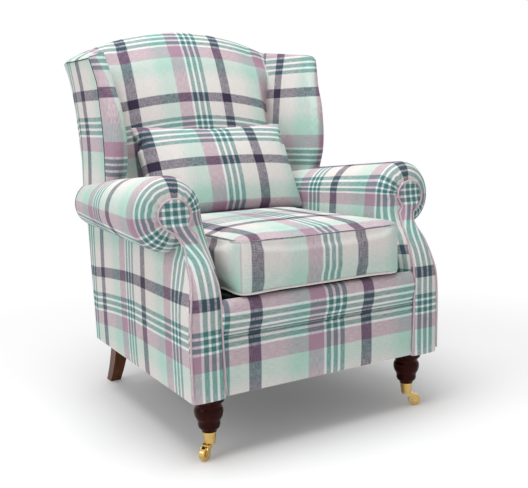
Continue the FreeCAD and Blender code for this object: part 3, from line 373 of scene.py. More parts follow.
def finish_of(name, tree, bump, values=None, settings=None):
    """A Principled material fed by a finish group: its colour, roughness and bump. Numbers that are the same all over
    stand on the shader's own sockets. The check lies on the cloth's places, the others in space."""
    material = bpy.data.materials.new(name)
    material.use_nodes = True
    web = material.node_tree
    if tree == CHECK:
        source = node(web, "UVMap")
        source.uv_map = "cloth"
        where = source.outputs[0]
    else:
        where = node(web, "TexCoord").outputs["Object"]
    finish = node(web, "Group")
    finish.node_tree = tree
    fed(web, finish, {0: where, **(values or {})})
    relief = node(web, "Bump", {"Distance": bump, "Strength": 0.6, "Height": finish.outputs["Height"]})
    fed(web, web.nodes["Principled BSDF"], {"Base Color": finish.outputs["Color"],
        "Roughness": finish.outputs["Roughness"], "Normal": relief.outputs[0], **(settings or {})})
    return material


cloth = finish_of("woven check cloth", CHECK, 0.0006,
                  settings={"Sheen Weight": 0.12, "Sheen Roughness": 0.5, "Specular IOR Level": 0.25})
mahogany = finish_of("polished mahogany", GRAIN, 0.00003,
                     {"Light": (0.046, 0.0050, 0.0034, 1), "Deep": (0.010, 0.0015, 0.0010, 1)},
                     {"Coat Weight": 0.02, "Coat Roughness": 0.05, "Specular IOR Level": 0.06})
walnut = finish_of("stained rear leg", GRAIN, 0.00008,
                   {"Light": (0.20, 0.062, 0.020, 1), "Deep": (0.050, 0.015, 0.006, 1)},
                   {"Coat Weight": 0.03, "Coat Roughness": 0.2, "Specular IOR Level": 0.12})
beech = finish_of("sawn beech", GRAIN, 0.0002, {"Light": (0.62, 0.42, 0.25, 1), "Deep": (0.42, 0.26, 0.14, 1)})
brass = finish_of("polished brass", TARNISH, 0.00002,
                  {"Bright": (0.86, 0.62, 0.24, 1), "Dull": (0.50, 0.31, 0.09, 1), "Polish": 0.08}, {"Metallic": 1.0})
steel = finish_of("zinc plated steel", TARNISH, 0.00003,
                  {"Bright": (0.62, 0.62, 0.60, 1), "Dull": (0.42, 0.42, 0.42, 1), "Polish": 0.3}, {"Metallic": 1.0})
calico = finish_of("unbleached calico", WEAVE, 0.0003,
                   {"Light": (0.82, 0.78, 0.66, 1), "Deep": (0.62, 0.57, 0.45, 1)})
jute = finish_of("jute webbing", WEAVE, 0.0006,
                 {"Light": (0.50, 0.38, 0.22, 1), "Deep": (0.27, 0.19, 0.10, 1), "Pitch": 1800.0})
black = finish_of("black lining", WEAVE, 0.0003,
                  {"Light": (0.012, 0.012, 0.013, 1), "Deep": (0.004, 0.004, 0.005, 1)})

# the solids that show as they are
made_of = {"beech": beech, "mahogany": mahogany, "brass": brass, "steel": steel, "foam": calico, "webbing": jute,
           "black_cloth": black, "plaid_fabric": cloth}
for row in frame["record"]["subparts"]:
    mesh = nodes[row["node"]].data
    mesh.materials.clear()
    mesh.materials.append(made_of[row["material_slot"]])
for side in ("right", "left"):
    nodes[f"rear_leg_{side}"].data.materials[0] = walnut


# arms: the padded roll, its gathered end and the flat inside

DISC_X, DISC_Z, DISC_R = 0.347, 0.566, 0.040  # the scroll's disc, in the facing's plane
DISC_RISE = 0.037  # half the disc's height with its cover
ARM_FRONT, ARM_LOW = -0.235, 0.345  # where the roll's even part starts, and the foot of its flat inside
ARM_CORE = 0.300  # the shell closes on this line inside the arm
FOOT = 0.1525  # the covers' lower edge, on the seat frame's underside


def roll(w):
    """Middle, height and radius of the roll at a share of its length from the front."""
    return 0.350 - 0.045 * w, 0.566 - 0.021 * w, 0.088 - 0.024 * w


def facing_inner(z):
    """The facing's inner seam, from the frame's underside up to the scroll."""
    return hermite(z, (0.152, 0.315, 0.380, 0.413, 0.460, 0.510, 0.550),
                   (0.278, 0.2835, 0.284, 0.285, 0.292, 0.300, 0.305))


def facing_outer(z):
    """The facing's outer seam: it waists in below the scroll."""
    return hermite(z, (0.152, 0.320, 0.352, 0.380, 0.410, 0.460, 0.505, 0.535),
                   (0.3615, 0.362, 0.3605, 0.357, 0.351, 0.345, 0.340, 0.360))


def arm_shell(side):
    """The roll as circles whose middle, height and radius run evenly to the back, its inside falling to a flat.
    The front closes on the facing in a quarter ellipse, with pleats that grow towards the gathered edge."""
    turns, falls = 72, 18
    w = np.linspace(1, 0, 34)[:, None]
    m, h, r = roll(w)
    frame_x = side_line(ARM_FRONT + w * 0.58) - 0.003
    crease = -np.arccos(np.clip((frame_x - m) / r, -1, 1))
    angle = crease + (np.pi - crease) * np.linspace(0, 1, turns)
    x = m + r * np.cos(angle)
    z = h + r * np.sin(angle)
    fall = np.linspace(0, 1, falls + 1)[1:]
    z_flat = h + (ARM_LOW - h) * fall
    inner = 0.254 - 0.007 * w
    x_flat = inner + (m - r - inner) * np.exp(-((h - z_flat) / 0.045) ** 2)
    x, z = np.hstack([x, x_flat]), np.hstack([z, z_flat])
    y = ARM_FRONT + w * (back_plane(z) - 0.006 - ARM_FRONT)
    body = np.stack([x, y, z], -1)
    rim = body[-1]
    # the edge where the cover meets the facing: the scroll's disc, then down the facing's inner seam
    edge_turn = np.linspace(-1.50, np.pi, turns)
    z_seam = DISC_Z + (ARM_LOW - DISC_Z) * fall
    edge_x = np.r_[DISC_X + DISC_R * np.cos(edge_turn), facing_inner(np.minimum(z_seam, 0.55))]
    edge_x[turns:] += (DISC_X - DISC_R - facing_inner(0.55)) * np.exp(-((DISC_Z - z_seam) / 0.02) ** 2)
    edge_z = np.r_[DISC_Z + DISC_R * np.sin(edge_turn), z_seam]
    edge_y = facing_depth(edge_z) + 0.010
    phi = np.linspace(0, np.pi / 2, 24)[1:, None]
    share = 1 - np.cos(phi)
    dome_x = rim[:, 0] + (edge_x - rim[:, 0]) * share
    dome_z = rim[:, 2] + (edge_z - rim[:, 2]) * share
    dome_y = rim[:, 1] + (edge_y - rim[:, 1]) * np.sin(phi)
    # the pleats: on which column of the grid each lies, and how deep it is in millimetres
    column = np.arange(turns + falls)
    pleats = np.array([6, 13, 19, 27, 34, 42, 49, 55, 60, 66, 72, 79])
    depths = np.array([2.6, 1.6, 2.4, 1.2, 1.9, 1.3, 2.8, 3.8, 2.6, 4.2, 3.0, 1.6]) / 1000
    crease_depth = (depths * np.exp(-(((column[:, None] - pleats) / 1.5) ** 2))).sum(1)
    dip = -crease_depth * eased((share - 0.12) / 0.70)
    away = np.stack([dome_x - DISC_X, 0 * dome_x, dome_z - DISC_Z], -1)
    away /= np.maximum(np.linalg.norm(away, axis=-1, keepdims=True), 1e-6)
    dome = np.stack([dome_x, dome_y, dome_z], -1) + away * dip[..., None]
    dome[..., 1] += dip * 0.9
    spots = np.concatenate([body, dome])
    around = walked(np.stack([body[-1], body[-1]]), 1)[0]
    # the check: one set of stripes goes round the roll, the other runs along it, dark 165 degrees round
    dark_ring, stretch, edge_place = (-0.060, 1.0, 0.050) if side == "right" else (-0.035, 0.78, 0.045)
    along = WARP + stretch * (y - dark_ring)
    rim_place = along[-1]
    along = np.concatenate([along, rim_place + (edge_place - rim_place) * np.linspace(0, 1, len(dome) + 1)[1:, None]])
    inside = np.interp(165, np.degrees(angle[-1]), around[:turns])
    off = around - inside
    across = 0.088 + np.where(off > 0, off * 1.2, off * 0.85)
    cloth_place = np.stack([along, np.broadcast_to(across, along.shape)], -1)
    # close the loop under the roll and behind the inside
    foot = spots[:, -1:] * (0, 1, 1) + (ARM_CORE, 0, 0)
    low = spots[:, :1] * (0, 1, 1) + (ARM_CORE, 0, 0)
    spots = np.concatenate([spots, foot, low, spots[:, :1]], 1)
    cloth_place = np.concatenate([cloth_place, cloth_place[:, -1:], cloth_place[:, -1:], cloth_place[:, :1]], 1)
    return capped(spots, cloth_place)


def facing_rows():
    """A facing's height, inner and outer edge, row by row: dense towards its foot and the scroll's top."""
    low = FOOT + 0.380 * np.linspace(0, 1, 34)
    turn = np.linspace(-0.95, np.pi / 2, 24)
    z = np.r_[low, DISC_Z + DISC_RISE * np.sin(turn)]
    inner = np.where(z < 0.552, facing_inner(z), 0)
    outer = np.where(z < 0.535, facing_outer(z), 0)
    round_half = 0.0405 * np.sqrt(np.maximum(1 - ((z - DISC_Z) / DISC_RISE) ** 2, 0))
    disc_inner, disc_outer = DISC_X - round_half, DISC_X + round_half
    inner = np.where(z < 0.552, inner + (disc_inner - inner) * eased((z - 0.520) / 0.030), disc_inner)
    outer = np.where(z < 0.535, outer + (disc_outer - outer) * eased((z - 0.505) / 0.028), disc_outer)
    return z, inner, outer


def facing_shell(side):
    """Across each row, a rounded slab: its front stands out in the middle, its edges turn back round the wood."""
    z, inner, outer = facing_rows()
    turn = np.linspace(0, 2 * np.pi, 41)[:-1]
    turn = np.r_[turn, 0]
    across, deep = np.cos(turn), np.sin(turn)
    # a superellipse: nearly flat before and behind, rounded at the edges
    across = np.sign(across) * np.abs(across) ** 0.45
    deep = np.sign(deep) * np.abs(deep) ** 0.55
    middle, half = (inner + outer)[:, None] / 2, (outer - inner)[:, None] / 2
    x = middle + half * across
    y = facing_depth(z)[:, None] + 0.0085 - deep * 0.0095 - 0.002 * (1 - across**2) * (deep > 0)
    slope = np.gradient(facing_depth(z), z)[:, None]
    z_out = z[:, None] + 0 * x + slope * deep * 0.006
    spots = np.stack([x, y, z_out], -1)
    lean = 0.038 * eased((z[:, None] - 0.45) / 0.10)
    cloth_place = np.stack([0.404 - x + lean if side == "right" else x - 0.222 - lean, 0.372 - z_out + 0 * x], -1)
    return spots, cloth_place


def facing_rim(z_low):
    """The line round a facing's front edge, from its inner foot over the scroll to its outer foot."""
    z, inner, outer = facing_rows()
    up = np.stack([inner, facing_depth(z) + 0.001, z], 1)
    down = np.stack([outer, facing_depth(z) + 0.001, z], 1)[::-1]
    path = np.concatenate([up, down[1:]])
    return path[path[:, 2] > z_low]


# outside arms: a thin padded panel under the roll


def outside_shell():
    """A panel from the facing's outer seam to the back, up to the roll's crease; it swells 5 mm in its middle."""
    rows, columns = 40, 48
    v = np.linspace(0, 1, rows)[:, None]
    u = np.linspace(0, 1, columns)[None, :]
    z = FOOT + v * (0.497 - FOOT) + 0 * u
    y0, y1 = facing_depth(z) + 0.012, back_plane(z) - 0.002
    y = y0 + (y1 - y0) * u
    near = np.exp(-((y - y0) / 0.075) ** 2)
    x = side_line(y) + (np.minimum(facing_outer(z), 0.362) - 0.362) * near
    x = x + 0.0035 * np.sin(np.pi * u) ** 0.5 * np.sin(np.pi * np.clip(v * 1.05, 0, 1)) ** 0.5
    front = np.stack([x, y, z], -1)
    back = front.copy()
    back[..., 0] -= 0.016
    loop = np.concatenate([front, back[:, ::-1], front[:, :1]], 1)
    sag = 0.030 * np.clip((y + 0.05) / 0.33, 0, 1) ** 1.5
    cloth_front = np.stack([np.where(y < -0.098, 1.07, 0.965) * (y + 0.098), 0.383 - sag - z], -1)
    cloth_place = np.concatenate([cloth_front, cloth_front[:, ::-1], cloth_front[:, :1]], 1)
    return capped(loop, cloth_place)


# wings

# by height: the front edge's depth, and how far out the outer face and the nose's inner side stand
WING_LEVELS = (0.560, 0.620, 0.680, 0.720, 0.770, 0.820, 0.866, 0.915, 0.965, 1.000)
WING_FRONT = (0.130, 0.110, 0.087, 0.083, 0.088, 0.100, 0.120, 0.137, 0.156, 0.170)
WING_OUTER = (0.345, 0.343, 0.341, 0.341, 0.343, 0.347, 0.351, 0.358, 0.366, 0.371)
WING_INNER = (0.293, 0.294, 0.295, 0.296, 0.298, 0.301, 0.306, 0.313, 0.322, 0.328)
WING_SEAM = 0.151  # the outer face's seam, in depth


def wing_loop(z):
    """A level's outline at heights z: up the inner face, round the nose, back along the outer face."""
    front, outer, inner = (hermite(z, WING_LEVELS, c) for c in (WING_FRONT, WING_OUTER, WING_INNER))
    nose, rear = (outer - inner) / 2, back_plane(z) - 0.006
    t = np.r_[np.linspace(0, 1, 26), np.zeros(14), np.linspace(0, 1, 6)[:-1], np.linspace(0, 1, 21)]
    turn = np.r_[np.zeros(26), np.linspace(np.pi, 2 * np.pi, 16)[1:-1], np.zeros(26)]
    part = np.repeat((0, 1, 2, 3), (26, 14, 5, 21))
    start = 0.254 + 0.018 * (z - 0.56) / 0.44
    splay = 1 - (1 - np.clip((t - 0.06) / 0.94, 0, 1)) ** 1.25
    inner_x = start + (inner - start) * splay - 0.005 * np.sin(np.pi * t) ** 2
    inner_y = rear + (front + nose - rear) * t
    nose_x, nose_y = (outer + inner) / 2 + nose * np.cos(turn), front + nose + nose * np.sin(turn)
    seam_y = np.maximum(WING_SEAM, front + nose + 0.002)
    outer_y = np.where(part == 2, front + nose + (seam_y - front - nose) * t, seam_y + (rear - seam_y) * t)
    back_share = (outer_y - front - nose) / (rear - front - nose)
    outer_x = outer - 0.004 * back_share + 0.004 * np.sin(np.pi * np.clip(back_share, 0, 1))
    return np.choose(part, (inner_x, nose_x, outer_x, outer_x)), np.choose(part, (inner_y, nose_y, outer_y, outer_y))


def wing_shell():
    """Level loops from the arm up to the arched top, each point's level set by its own height; a cap drawn in to the
    middle line closes the top, its edge rounded over 6 mm. The inner cover goes round the nose to a seam."""
    share = np.linspace(0, 1, 46)[:, None]
    height = 0.560 + share * 0.40 + np.zeros((1, 66))
    for _ in range(4):
        x, y = wing_loop(height)
        height = 0.560 + share * (arch(x[-1:]) - 0.006 - 0.560)
    x, y = wing_loop(height)
    wall = np.stack([x, y, height], -1)
    mate_x, mate_y = (x[-1] + x[-1][::-1]) / 2, (y[-1] + y[-1][::-1]) / 2
    caps = []
    for inset, lift in ((0.06, 0.0030), (0.16, 0.0045), (0.34, 0.0055), (0.68, 0.0060), (1.0, 0.0060)):
        cap_x, cap_y = x[-1] + (mate_x - x[-1]) * inset, y[-1] + (mate_y - y[-1]) * inset
        caps.append(np.stack([cap_x, cap_y, arch(cap_x) - 0.006 + lift], -1)[None])
    spots = np.concatenate([wall, *caps])
    run = walked(wall, 1)
    run = np.concatenate([run, np.repeat(run[-1:], len(caps), 0)])
    corner, seam = run[:, 4:5], 45
    straight = spots[:, 4:5, 1] - 0.263 - (run - corner)
    past = np.maximum(-0.118 - straight, 0)
    wrapped = np.maximum(straight, -0.118) - 0.048 * past / past[:, seam:seam + 1]
    inner_place = np.stack([wrapped, spots[..., 2] - 0.857], -1)
    outer_place = np.stack([spots[..., 1] - 0.272, 0.848 - spots[..., 2]], -1)
    over = np.broadcast_to(np.arange(len(spots))[:, None] >= len(wall), run.shape)
    inner_place[..., 1] += over * 0.01
    inner = (spots[:, :seam + 1], inner_place[:, :seam + 1])
    outer = (spots[:, seam:], outer_place[:, seam:])
    rear = (np.concatenate([spots[:, -1:], spots[:, :1]], 1), np.concatenate([outer_place[:, -1:]] * 2, 1))
    foot = np.broadcast_to(spots[0].mean(0), spots[0].shape)
    closing = np.stack([foot, spots[0]])
    closing = np.concatenate([closing, closing[:, :1]], 1)
    below = (closing, np.zeros((2, closing.shape[1], 2)))
    return [inner, outer, rear, below], np.vstack([wall[:, seam], wall[-1, seam + 1:]])


# the back


def back_shell():
    """Inside back: for each place across, a line up the lumbar swell, over the crest and down to the outside seam."""
    columns = 61
    x = np.linspace(-0.300, 0.300, columns)[:, None]
    side = np.abs(x) / 0.300
    crest = arch(x)
    drop = 1.042 - crest
    heights = np.array([0.330, 0.420, 0.510, 0.580, 0.650, 0.720, 0.790, 0.860, 0.920, 0.965, 1.000])
    depths = np.array([0.176, 0.177, 0.182, 0.189, 0.200, 0.214, 0.231, 0.252, 0.274, 0.292, 0.313])
    top_share = (np.linspace(0.330, 1.000, 40) - 0.330) / 0.670
    z = 0.330 + top_share * (crest - 0.042 - 0.330)
    y = hermite(0.330 + top_share * 0.670, heights, depths) + 0 * x
    fall = 0.055 * (1 - eased((z - 0.80) / 0.13)) * eased((z - 0.52) / 0.14)
    y = y + 0.006 * eased((side - 0.45) / 0.4) + fall * eased((np.abs(x) - 0.212) / 0.066) + drop * 0.15
    y = np.minimum(y, back_plane(z) - 0.03)
    # over the crest in a rounded brow
    brow = np.linspace(0, 1, 16)[1:]
    rear = back_plane(crest - 0.02)
    start_y, start_z = y[:, -1:], z[:, -1:]
    over_y = start_y + (rear - start_y) * brow ** 1.15
    over_z = start_z + (crest - start_z) * np.sin(np.pi / 2 * np.minimum(brow * 1.45, 1)) ** 0.9
    over_z = over_z - 0.016 * eased((brow - 0.72) / 0.28)
    y, z = np.hstack([y, over_y]), np.hstack([z, over_z])
    front = np.stack([x + 0 * y, y, z], -1)
    run = walked(front, 1)
    at_dark = np.argmin(np.abs(front[30, :, 2] - 0.843))
    cloth_place = np.stack([0.090 - x + 0 * y, (run[:, at_dark:at_dark + 1] - run) * 1.02], -1)
    behind = np.stack([x + 0 * y[:, :2], np.hstack([back_plane(z[:, -1:]) - 0.022, y[:, :1] + 0.060]),
                       np.hstack([z[:, -1:] - 0.10, z[:, :1]])], -1)
    spots = np.concatenate([front, behind, front[:, :1]], 1)
    cloth_place = np.concatenate([cloth_place, cloth_place[:, -1:], cloth_place[:, :1], cloth_place[:, :1]], 1)
    return capped(spots, cloth_place)


def outside_back_shell():
    """A thin panel on the leaning plane, its edges on the arms' and wings' outer seams."""
    v = np.linspace(0, 1, 50)[:, None]
    u = np.linspace(-1, 1, 41)[None, :]
    heights = (0.152, 0.30, 0.45, 0.60, 0.70, 0.79, 0.89, 0.955)
    halves = (0.334, 0.3335, 0.333, 0.334, 0.337, 0.341, 0.351, 0.367)
    x_low = hermite(FOOT + v * 0.8025, heights, halves) * u
    z = FOOT + v * (np.minimum(arch(x_low), 1.040) - 0.004 - FOOT)
    x = hermite(np.minimum(z, 0.955), heights, halves) * u
    y = back_plane(z) - 0.0015 + 0.005 * (1 - np.abs(u) ** 4) * np.sin(np.pi * v) ** 0.4 + 0 * x
    front = np.stack([x, y, z], -1)
    back = front.copy()
    back[..., 1] = back_plane(z) - 0.010
    loop = np.concatenate([front, back[:, ::-1], front[:, :1]], 1)
    face = np.stack([0.090 + x, 0.843 - z], -1)
    cloth_place = np.concatenate([face, face[:, ::-1], face[:, :1]], 1)
    return capped(loop, cloth_place)


# the front: lip, double piping and border

FRONT_HALF = 0.284  # half the width between the two facings


def lip_shell():
    """The padded front edge under the cushion: a rounded nose from the piping up to the seat, drawn in at its
    ends. Its outline is carried across the front."""
    u = np.linspace(-1, 1, 61)[:, None]
    outline = np.array([(-0.353, 0.372), (-0.362, 0.3735), (-0.3705, 0.3705), (-0.3765, 0.363), (-0.3795, 0.352),
                        (-0.3805, 0.339), (-0.3795, 0.326), (-0.3765, 0.314), (-0.372, 0.305), (-0.367, 0.3005),
                        (-0.358, 0.300), (-0.340, 0.302), (-0.332, 0.335), (-0.340, 0.368), (-0.353, 0.372)])
    fall = eased((np.abs(u) - 0.9) / 0.1) * 0.004
    x = FRONT_HALF * u + 0 * outline[:, 0]
    y = outline[:, 0] + fall * (outline[:, 0] < -0.36)
    z = 0.3005 + (outline[:, 1] - 0.3005) * 1.052 + 0 * x
    spots = np.stack([x, y + 0 * x, z], -1)
    run = np.r_[0, np.cumsum(np.hypot(*np.diff(outline, axis=0).T))]
    cloth_place = np.stack([front_warp(x), 0.155 - run + 0 * x], -1)
    return capped(spots, cloth_place)


def front_warp(x):
    """Where on the repeat the front's upright stripes were cut: dark at 126 mm right of the middle."""
    return 0.92 * (0.126 - x)


def piping_tube(height):
    """One cord of the double piping, level from facing to facing, its stripes in line with the border's."""
    line = np.stack([np.linspace(-FRONT_HALF, FRONT_HALF, 120), np.full(120, -0.3672), np.full(120, height)], 1)
    spots, _ = tube(line, 0.0031, 10)
    return spots, np.stack([front_warp(spots[..., 0]), 0.372 - spots[..., 2]], -1)


def border_shell():
    """The flat border below the piping, a padded slab with rounded edges."""
    u = np.linspace(-1, 1, 61)[:, None]
    z_line = np.r_[FOOT, 0.154, 0.160, 0.20, 0.24, 0.28, 0.288, 0.2915]
    y_line = np.r_[-0.360, -0.3645, -0.3665, -0.3685, -0.3690, -0.3680, -0.3660, -0.3625]
    z_loop = np.r_[z_line, 0.2915, FOOT, FOOT]
    y_loop = np.r_[y_line, -0.350, -0.350, -0.360]
    x = FRONT_HALF * u + 0 * z_loop
    spots = np.stack([x, y_loop + 0 * x, z_loop + 0 * x], -1)
    cloth_place = np.stack([front_warp(x), 0.372 - z_loop + 0 * x], -1)
    return capped(spots, cloth_place)


# cushions


SEAT = (0.2385, -0.3810, 0.1705, 0.3800, 0.5085)  # the cover: half width, front, rear, underside, top


def squared_ring(power):
    """A ring pulled out towards a square: |x|^power + |y|^power = 1, its corners the sharper the higher the power."""
    turn = np.linspace(0, 2 * np.pi, 161)
    c, s = np.cos(turn), np.sin(turn)
    scale = (np.abs(c) ** power + np.abs(s) ** power) ** (-1 / power)
    return c * scale, s * scale


def slab(half_x, y0, y1, z0, z1, crown, draw):
    """A boxed cushion's form, row by row: out from the middle of its underside, up its wall and in over its top. The
    plan is a rounded rectangle whose sides are drawn in between its corners; the top is crowned."""
    px, py = squared_ring(26.0)
    pull = 1 - draw / half_x * (1 - np.abs(px * py) ** 2)
    middle = (y0 + y1) / 2
    px, py = half_x * px * pull, middle + (y1 - y0) / 2 * py * pull
    rows = []
    # how far out each row lies, and how far up the wall
    for share, height in ((0, 0), (0.5, 0), (0.8, 0), (0.93, 0), (0.985, 0.002), (1.0, 0.008), (1.0, 0.03),
                          (1.0, 0.5), (1.0, 0.97), (1.0, 0.99), (0.985, 1), (0.93, 1), (0.8, 1), (0.6, 1),
                          (0.4, 1), (0.2, 1), (0, 1)):
        z = z0 + (z1 - z0) * height + (crown * (1 - share**2) if height == 1 else 0)
        rows.append(np.stack([px * share, middle + (py - middle) * share, np.full_like(px, z)], -1))
    return np.array(rows)


def swollen(name, points, voxel, pressure, cap, frames=20):
    """A closed form remeshed and puffed up by a cloth simulation; no point moves further than the cap."""
    mesh = bpy.data.meshes.new(name)
    mesh.from_pydata(points.reshape(-1, 3).tolist(), [], quads(*points.shape[:2]).tolist())
    merged(mesh, 1e-5)
    piece = linked(name, mesh)
    remesh = piece.modifiers.new("remesh", "REMESH")
    remesh.mode = "VOXEL"
    remesh.voxel_size = voxel
    piece = applied(piece)
    start = spots_of(piece.data)
    cloth_step = piece.modifiers.new("cloth", "CLOTH")
    settings = cloth_step.settings
    settings.use_pressure = True
    settings.uniform_pressure_force = pressure
    settings.quality = 5
    settings.effector_weights.gravity = 0
    settings.tension_stiffness = settings.compression_stiffness = 25
    settings.bending_stiffness = 0.6
    cloth_step.point_cache.frame_start, cloth_step.point_cache.frame_end = 1, frames
    for step in range(1, frames + 1):
        bpy.context.scene.frame_set(step)
    piece = applied(piece)
    bpy.context.scene.frame_set(1)
    moved = spots_of(piece.data) - start
    far = np.linalg.norm(moved, axis=1, keepdims=True)
    settled = start + moved * np.minimum(1, cap / np.maximum(far, 1e-9))
    piece.data.vertices.foreach_set("co", settled.ravel())
    smoothed(piece.data)
    return piece


def spots_of(mesh):
    """The mesh's points as rows of x, y and z."""
    spots = np.empty(len(mesh.vertices) * 3)
    mesh.vertices.foreach_get("co", spots)
    return spots.reshape(-1, 3)


def applied(piece):
    """The object with its modifiers made part of its mesh."""
    solved = bpy.data.meshes.new_from_object(piece.evaluated_get(bpy.context.evaluated_depsgraph_get()))
    piece.modifiers.clear()
    piece.data = solved
    return piece


def eased_out(mesh, rounds):
    """Each point moved half way to the mean of its neighbours, so voxel steps fade."""
    spots = spots_of(mesh)
    edges = np.empty(len(mesh.edges) * 2, int)
    mesh.edges.foreach_get("vertices", edges)
    a, b = edges.reshape(-1, 2).T
    for _ in range(rounds):
        total, count = np.zeros_like(spots), np.zeros(len(spots))
        for one, other in ((a, b), (b, a)):
            np.add.at(total, one, spots[other])
            np.add.at(count, one, 1)
        spots = (spots + total / count[:, None]) / 2
    mesh.vertices.foreach_set("co", spots.ravel())


def laid_on(mesh, warp, weft):
    """Gives each face corner its place on the cloth, from its point's warp and weft."""
    corners = np.empty(len(mesh.loops), int)
    mesh.loops.foreach_get("vertex_index", corners)
    places = np.stack([warp, weft], 1)
    mesh.uv_layers.new(name="cloth").data.foreach_set("uv", places[corners].ravel())


def seam_line(piece, path, lift):
    """The path laid on a piece's surface, a little proud of it."""
    mesh = piece.data
    tree = BVHTree.FromPolygons([v.co for v in mesh.vertices], [p.vertices for p in mesh.polygons])
    laid = []
    for spot in path:
        near, normal, _, _ = tree.find_nearest(Vector(spot))
        laid.append(near + normal * lift)
    laid = np.array([tuple(p) for p in laid])
    for _ in range(4):
        laid = (np.roll(laid, 1, 0) + 2 * laid + np.roll(laid, -1, 0)) / 4
    return laid


def seat_cushion():
    """The boxed seat cushion, swollen by simulation: welted at its bottom edge, with a half-dark cord at its top edge
    as painted seam shade.
    """
    half, front, rear, low, high = SEAT
    form = slab(*SEAT, 0.013, 0.003)
    piece = swollen("seat_cushion_cover_cloth", form, 0.0062, 1.8, 0.005)
    eased_out(piece.data, 2)
    # the underside lies nearly flat on the platform
    spots, flat = spots_of(piece.data), low + 0.0005
    spots[:, 2] = np.where(spots[:, 2] < flat, flat + (spots[:, 2] - flat) * 0.1, spots[:, 2])
    piece.data.vertices.foreach_set("co", spots.ravel())
    # the top and the underside are cut apart from the boxing, whose ends and sides run on round the corners
    x, y, z = spots_of(piece.data).T
    level = (z > high - 0.0055) | (z < low + 0.005)
    ends = np.minimum(y - front, rear - y) < half - np.abs(x) + 0.004
    laid_on(piece.data, np.where(level | ends, 0.106 - x, 0.249 + y),
            np.where(level, y + 0.210, 0.160 + 0.75 * (z - 0.3815)))
    finished(piece, cloth, "seat_cushion", ["seat_cushion_cover"])
    rim = form[5, :-1]
    # the top cord's weft lies on the dark stripe, a painted shade line along the top seam; the underside's welt is
    # cream
    for label, height, lift, radius, weft in (("top", high, 0.0, 0.0016, 0.0),
                                              ("underside", low + 0.002, 0.001, 0.0030, 0.25)):
        path = np.stack([rim[:, 0], rim[:, 1], np.full(len(rim), height)], 1)
        path = spaced(np.vstack([path, path[:1]]), 0.010)[:-1]
        cord = tube(seam_line(piece, path, lift), radius, closed=True, start=0.03, level=weft)
        covered(f"seat_cushion_{label}_welt", [cord], "seat_cushion")
    core = slab(0.2230, -0.3650, 0.1550, 0.394, 0.488, 0.006, 0.003)
    meshed("seat_cushion_foam", [plain(core)], calico, "seat_cushion", ["seat_cushion_core"])


def scatter_cushion():
    """The loose cushion: two faces that meet in a knife edge, leaned 26 degrees on the back. Each face is thickest in
    its middle and thins as (1 - |x|^2.6)(1 - |z|^2.2) to the power 0.66; its sides are drawn in between the
    corners."""
    half_x, half_z = 0.254, 0.145
    px, pz = squared_ring(30.0)
    pull = 1 - np.where(pz > 0.5, 0.15, 0.05) * (1 - np.abs(px * pz) ** 1.5)
    rows = []
    for side in (1, -1):
        for share in np.linspace(0, 1, 14)[::side]:
            x, z = px * pull * share, pz * pull * share
            thick = 0.047 * np.maximum((1 - np.abs(x) ** 2.6) * (1 - np.abs(z) ** 2.2), 0) ** 0.66 + 0.0010
            rows.append(np.stack([half_x * x, -side * thick, half_z * z], -1))
    form = np.array(rows)
    seat = np.array(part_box("scatter_cushion_cover")).mean(0)
    leaned = Matrix.Translation(seat) @ Matrix.Rotation(np.radians(-26), 4, "X")
    filling = meshed("scatter_cushion_filling", [plain(form * (0.72, 0.62, 0.66))], calico,
                     "scatter_cushion", ["scatter_cushion_fill"])
    filling.data.transform(leaned)
    piece = swollen("scatter_cushion_cover_cloth", form, 0.0050, 2.0, 0.006)
    eased_out(piece.data, 1)
    x, _, z = spots_of(piece.data).T
    laid_on(piece.data, 0.93 * (0.106 - x), np.where(z > 0.004, 0.98, 1.12) * (z - 0.004))
    piece.data.transform(leaned)
    finished(piece, cloth, "scatter_cushion", ["scatter_cushion_cover"])


# under the cushion and under the seat


def platform_shell():
    """The padded platform that the cushion lies on: flat on its top and underside, its wall rounded."""
    return plain(slab(0.2450, -0.3330, 0.2600, 0.2905, 0.3765, 0.001, 0.002))


def lining_sheet():
    """The lining tacked under the rails: a flat sheet narrowing with the frame, drawn up 1 mm between its tacks."""
    v = np.linspace(0, 1, 45)[:, None]
    u = np.linspace(-1, 1, 49)[None, :]
    y = -0.3545 + 0.659 * v + 0 * u
    half = side_line(y) - 0.006
    edge = 1 - (1 - u**8) * (1 - (2 * v - 1) ** 8)
    z = 0.1518 - 0.0008 * edge * np.abs(np.sin(14 * np.pi * (u + v)))
    return plain(np.stack([half * u, y, z], -1))


# legs


def leg_shell():
    """A front leg turned about its axis: the profile's radii are a smooth line through the lathe's marks."""
    marks = np.array([
        (0.0000, 0.1520), (0.0375, 0.1520), (0.0380, 0.1455), (0.0372, 0.1385), (0.0345, 0.1355), (0.0312, 0.1335),
        (0.0298, 0.1290), (0.0302, 0.1245), (0.0325, 0.1222), (0.0338, 0.1190), (0.0342, 0.1130), (0.0334, 0.1060),
        (0.0312, 0.0990), (0.0286, 0.0950), (0.0272, 0.0938), (0.0268, 0.0905), (0.0262, 0.0888), (0.0258, 0.0870),
        (0.0262, 0.0835), (0.0258, 0.0790), (0.0242, 0.0745), (0.0215, 0.0718), (0.0192, 0.0705), (0.0180, 0.0690),
        (0.0174, 0.0645), (0.0110, 0.0645), (0.0110, 0.0440), (0.0000, 0.0440)])
    radius, height = marks.T
    turn = np.linspace(0, 2 * np.pi, 49)
    spots = np.stack([0.300 + radius[:, None] * np.cos(turn), -0.323 + radius[:, None] * np.sin(turn),
                      height[:, None] + 0 * turn], -1)
    return plain(spots)


# what is made

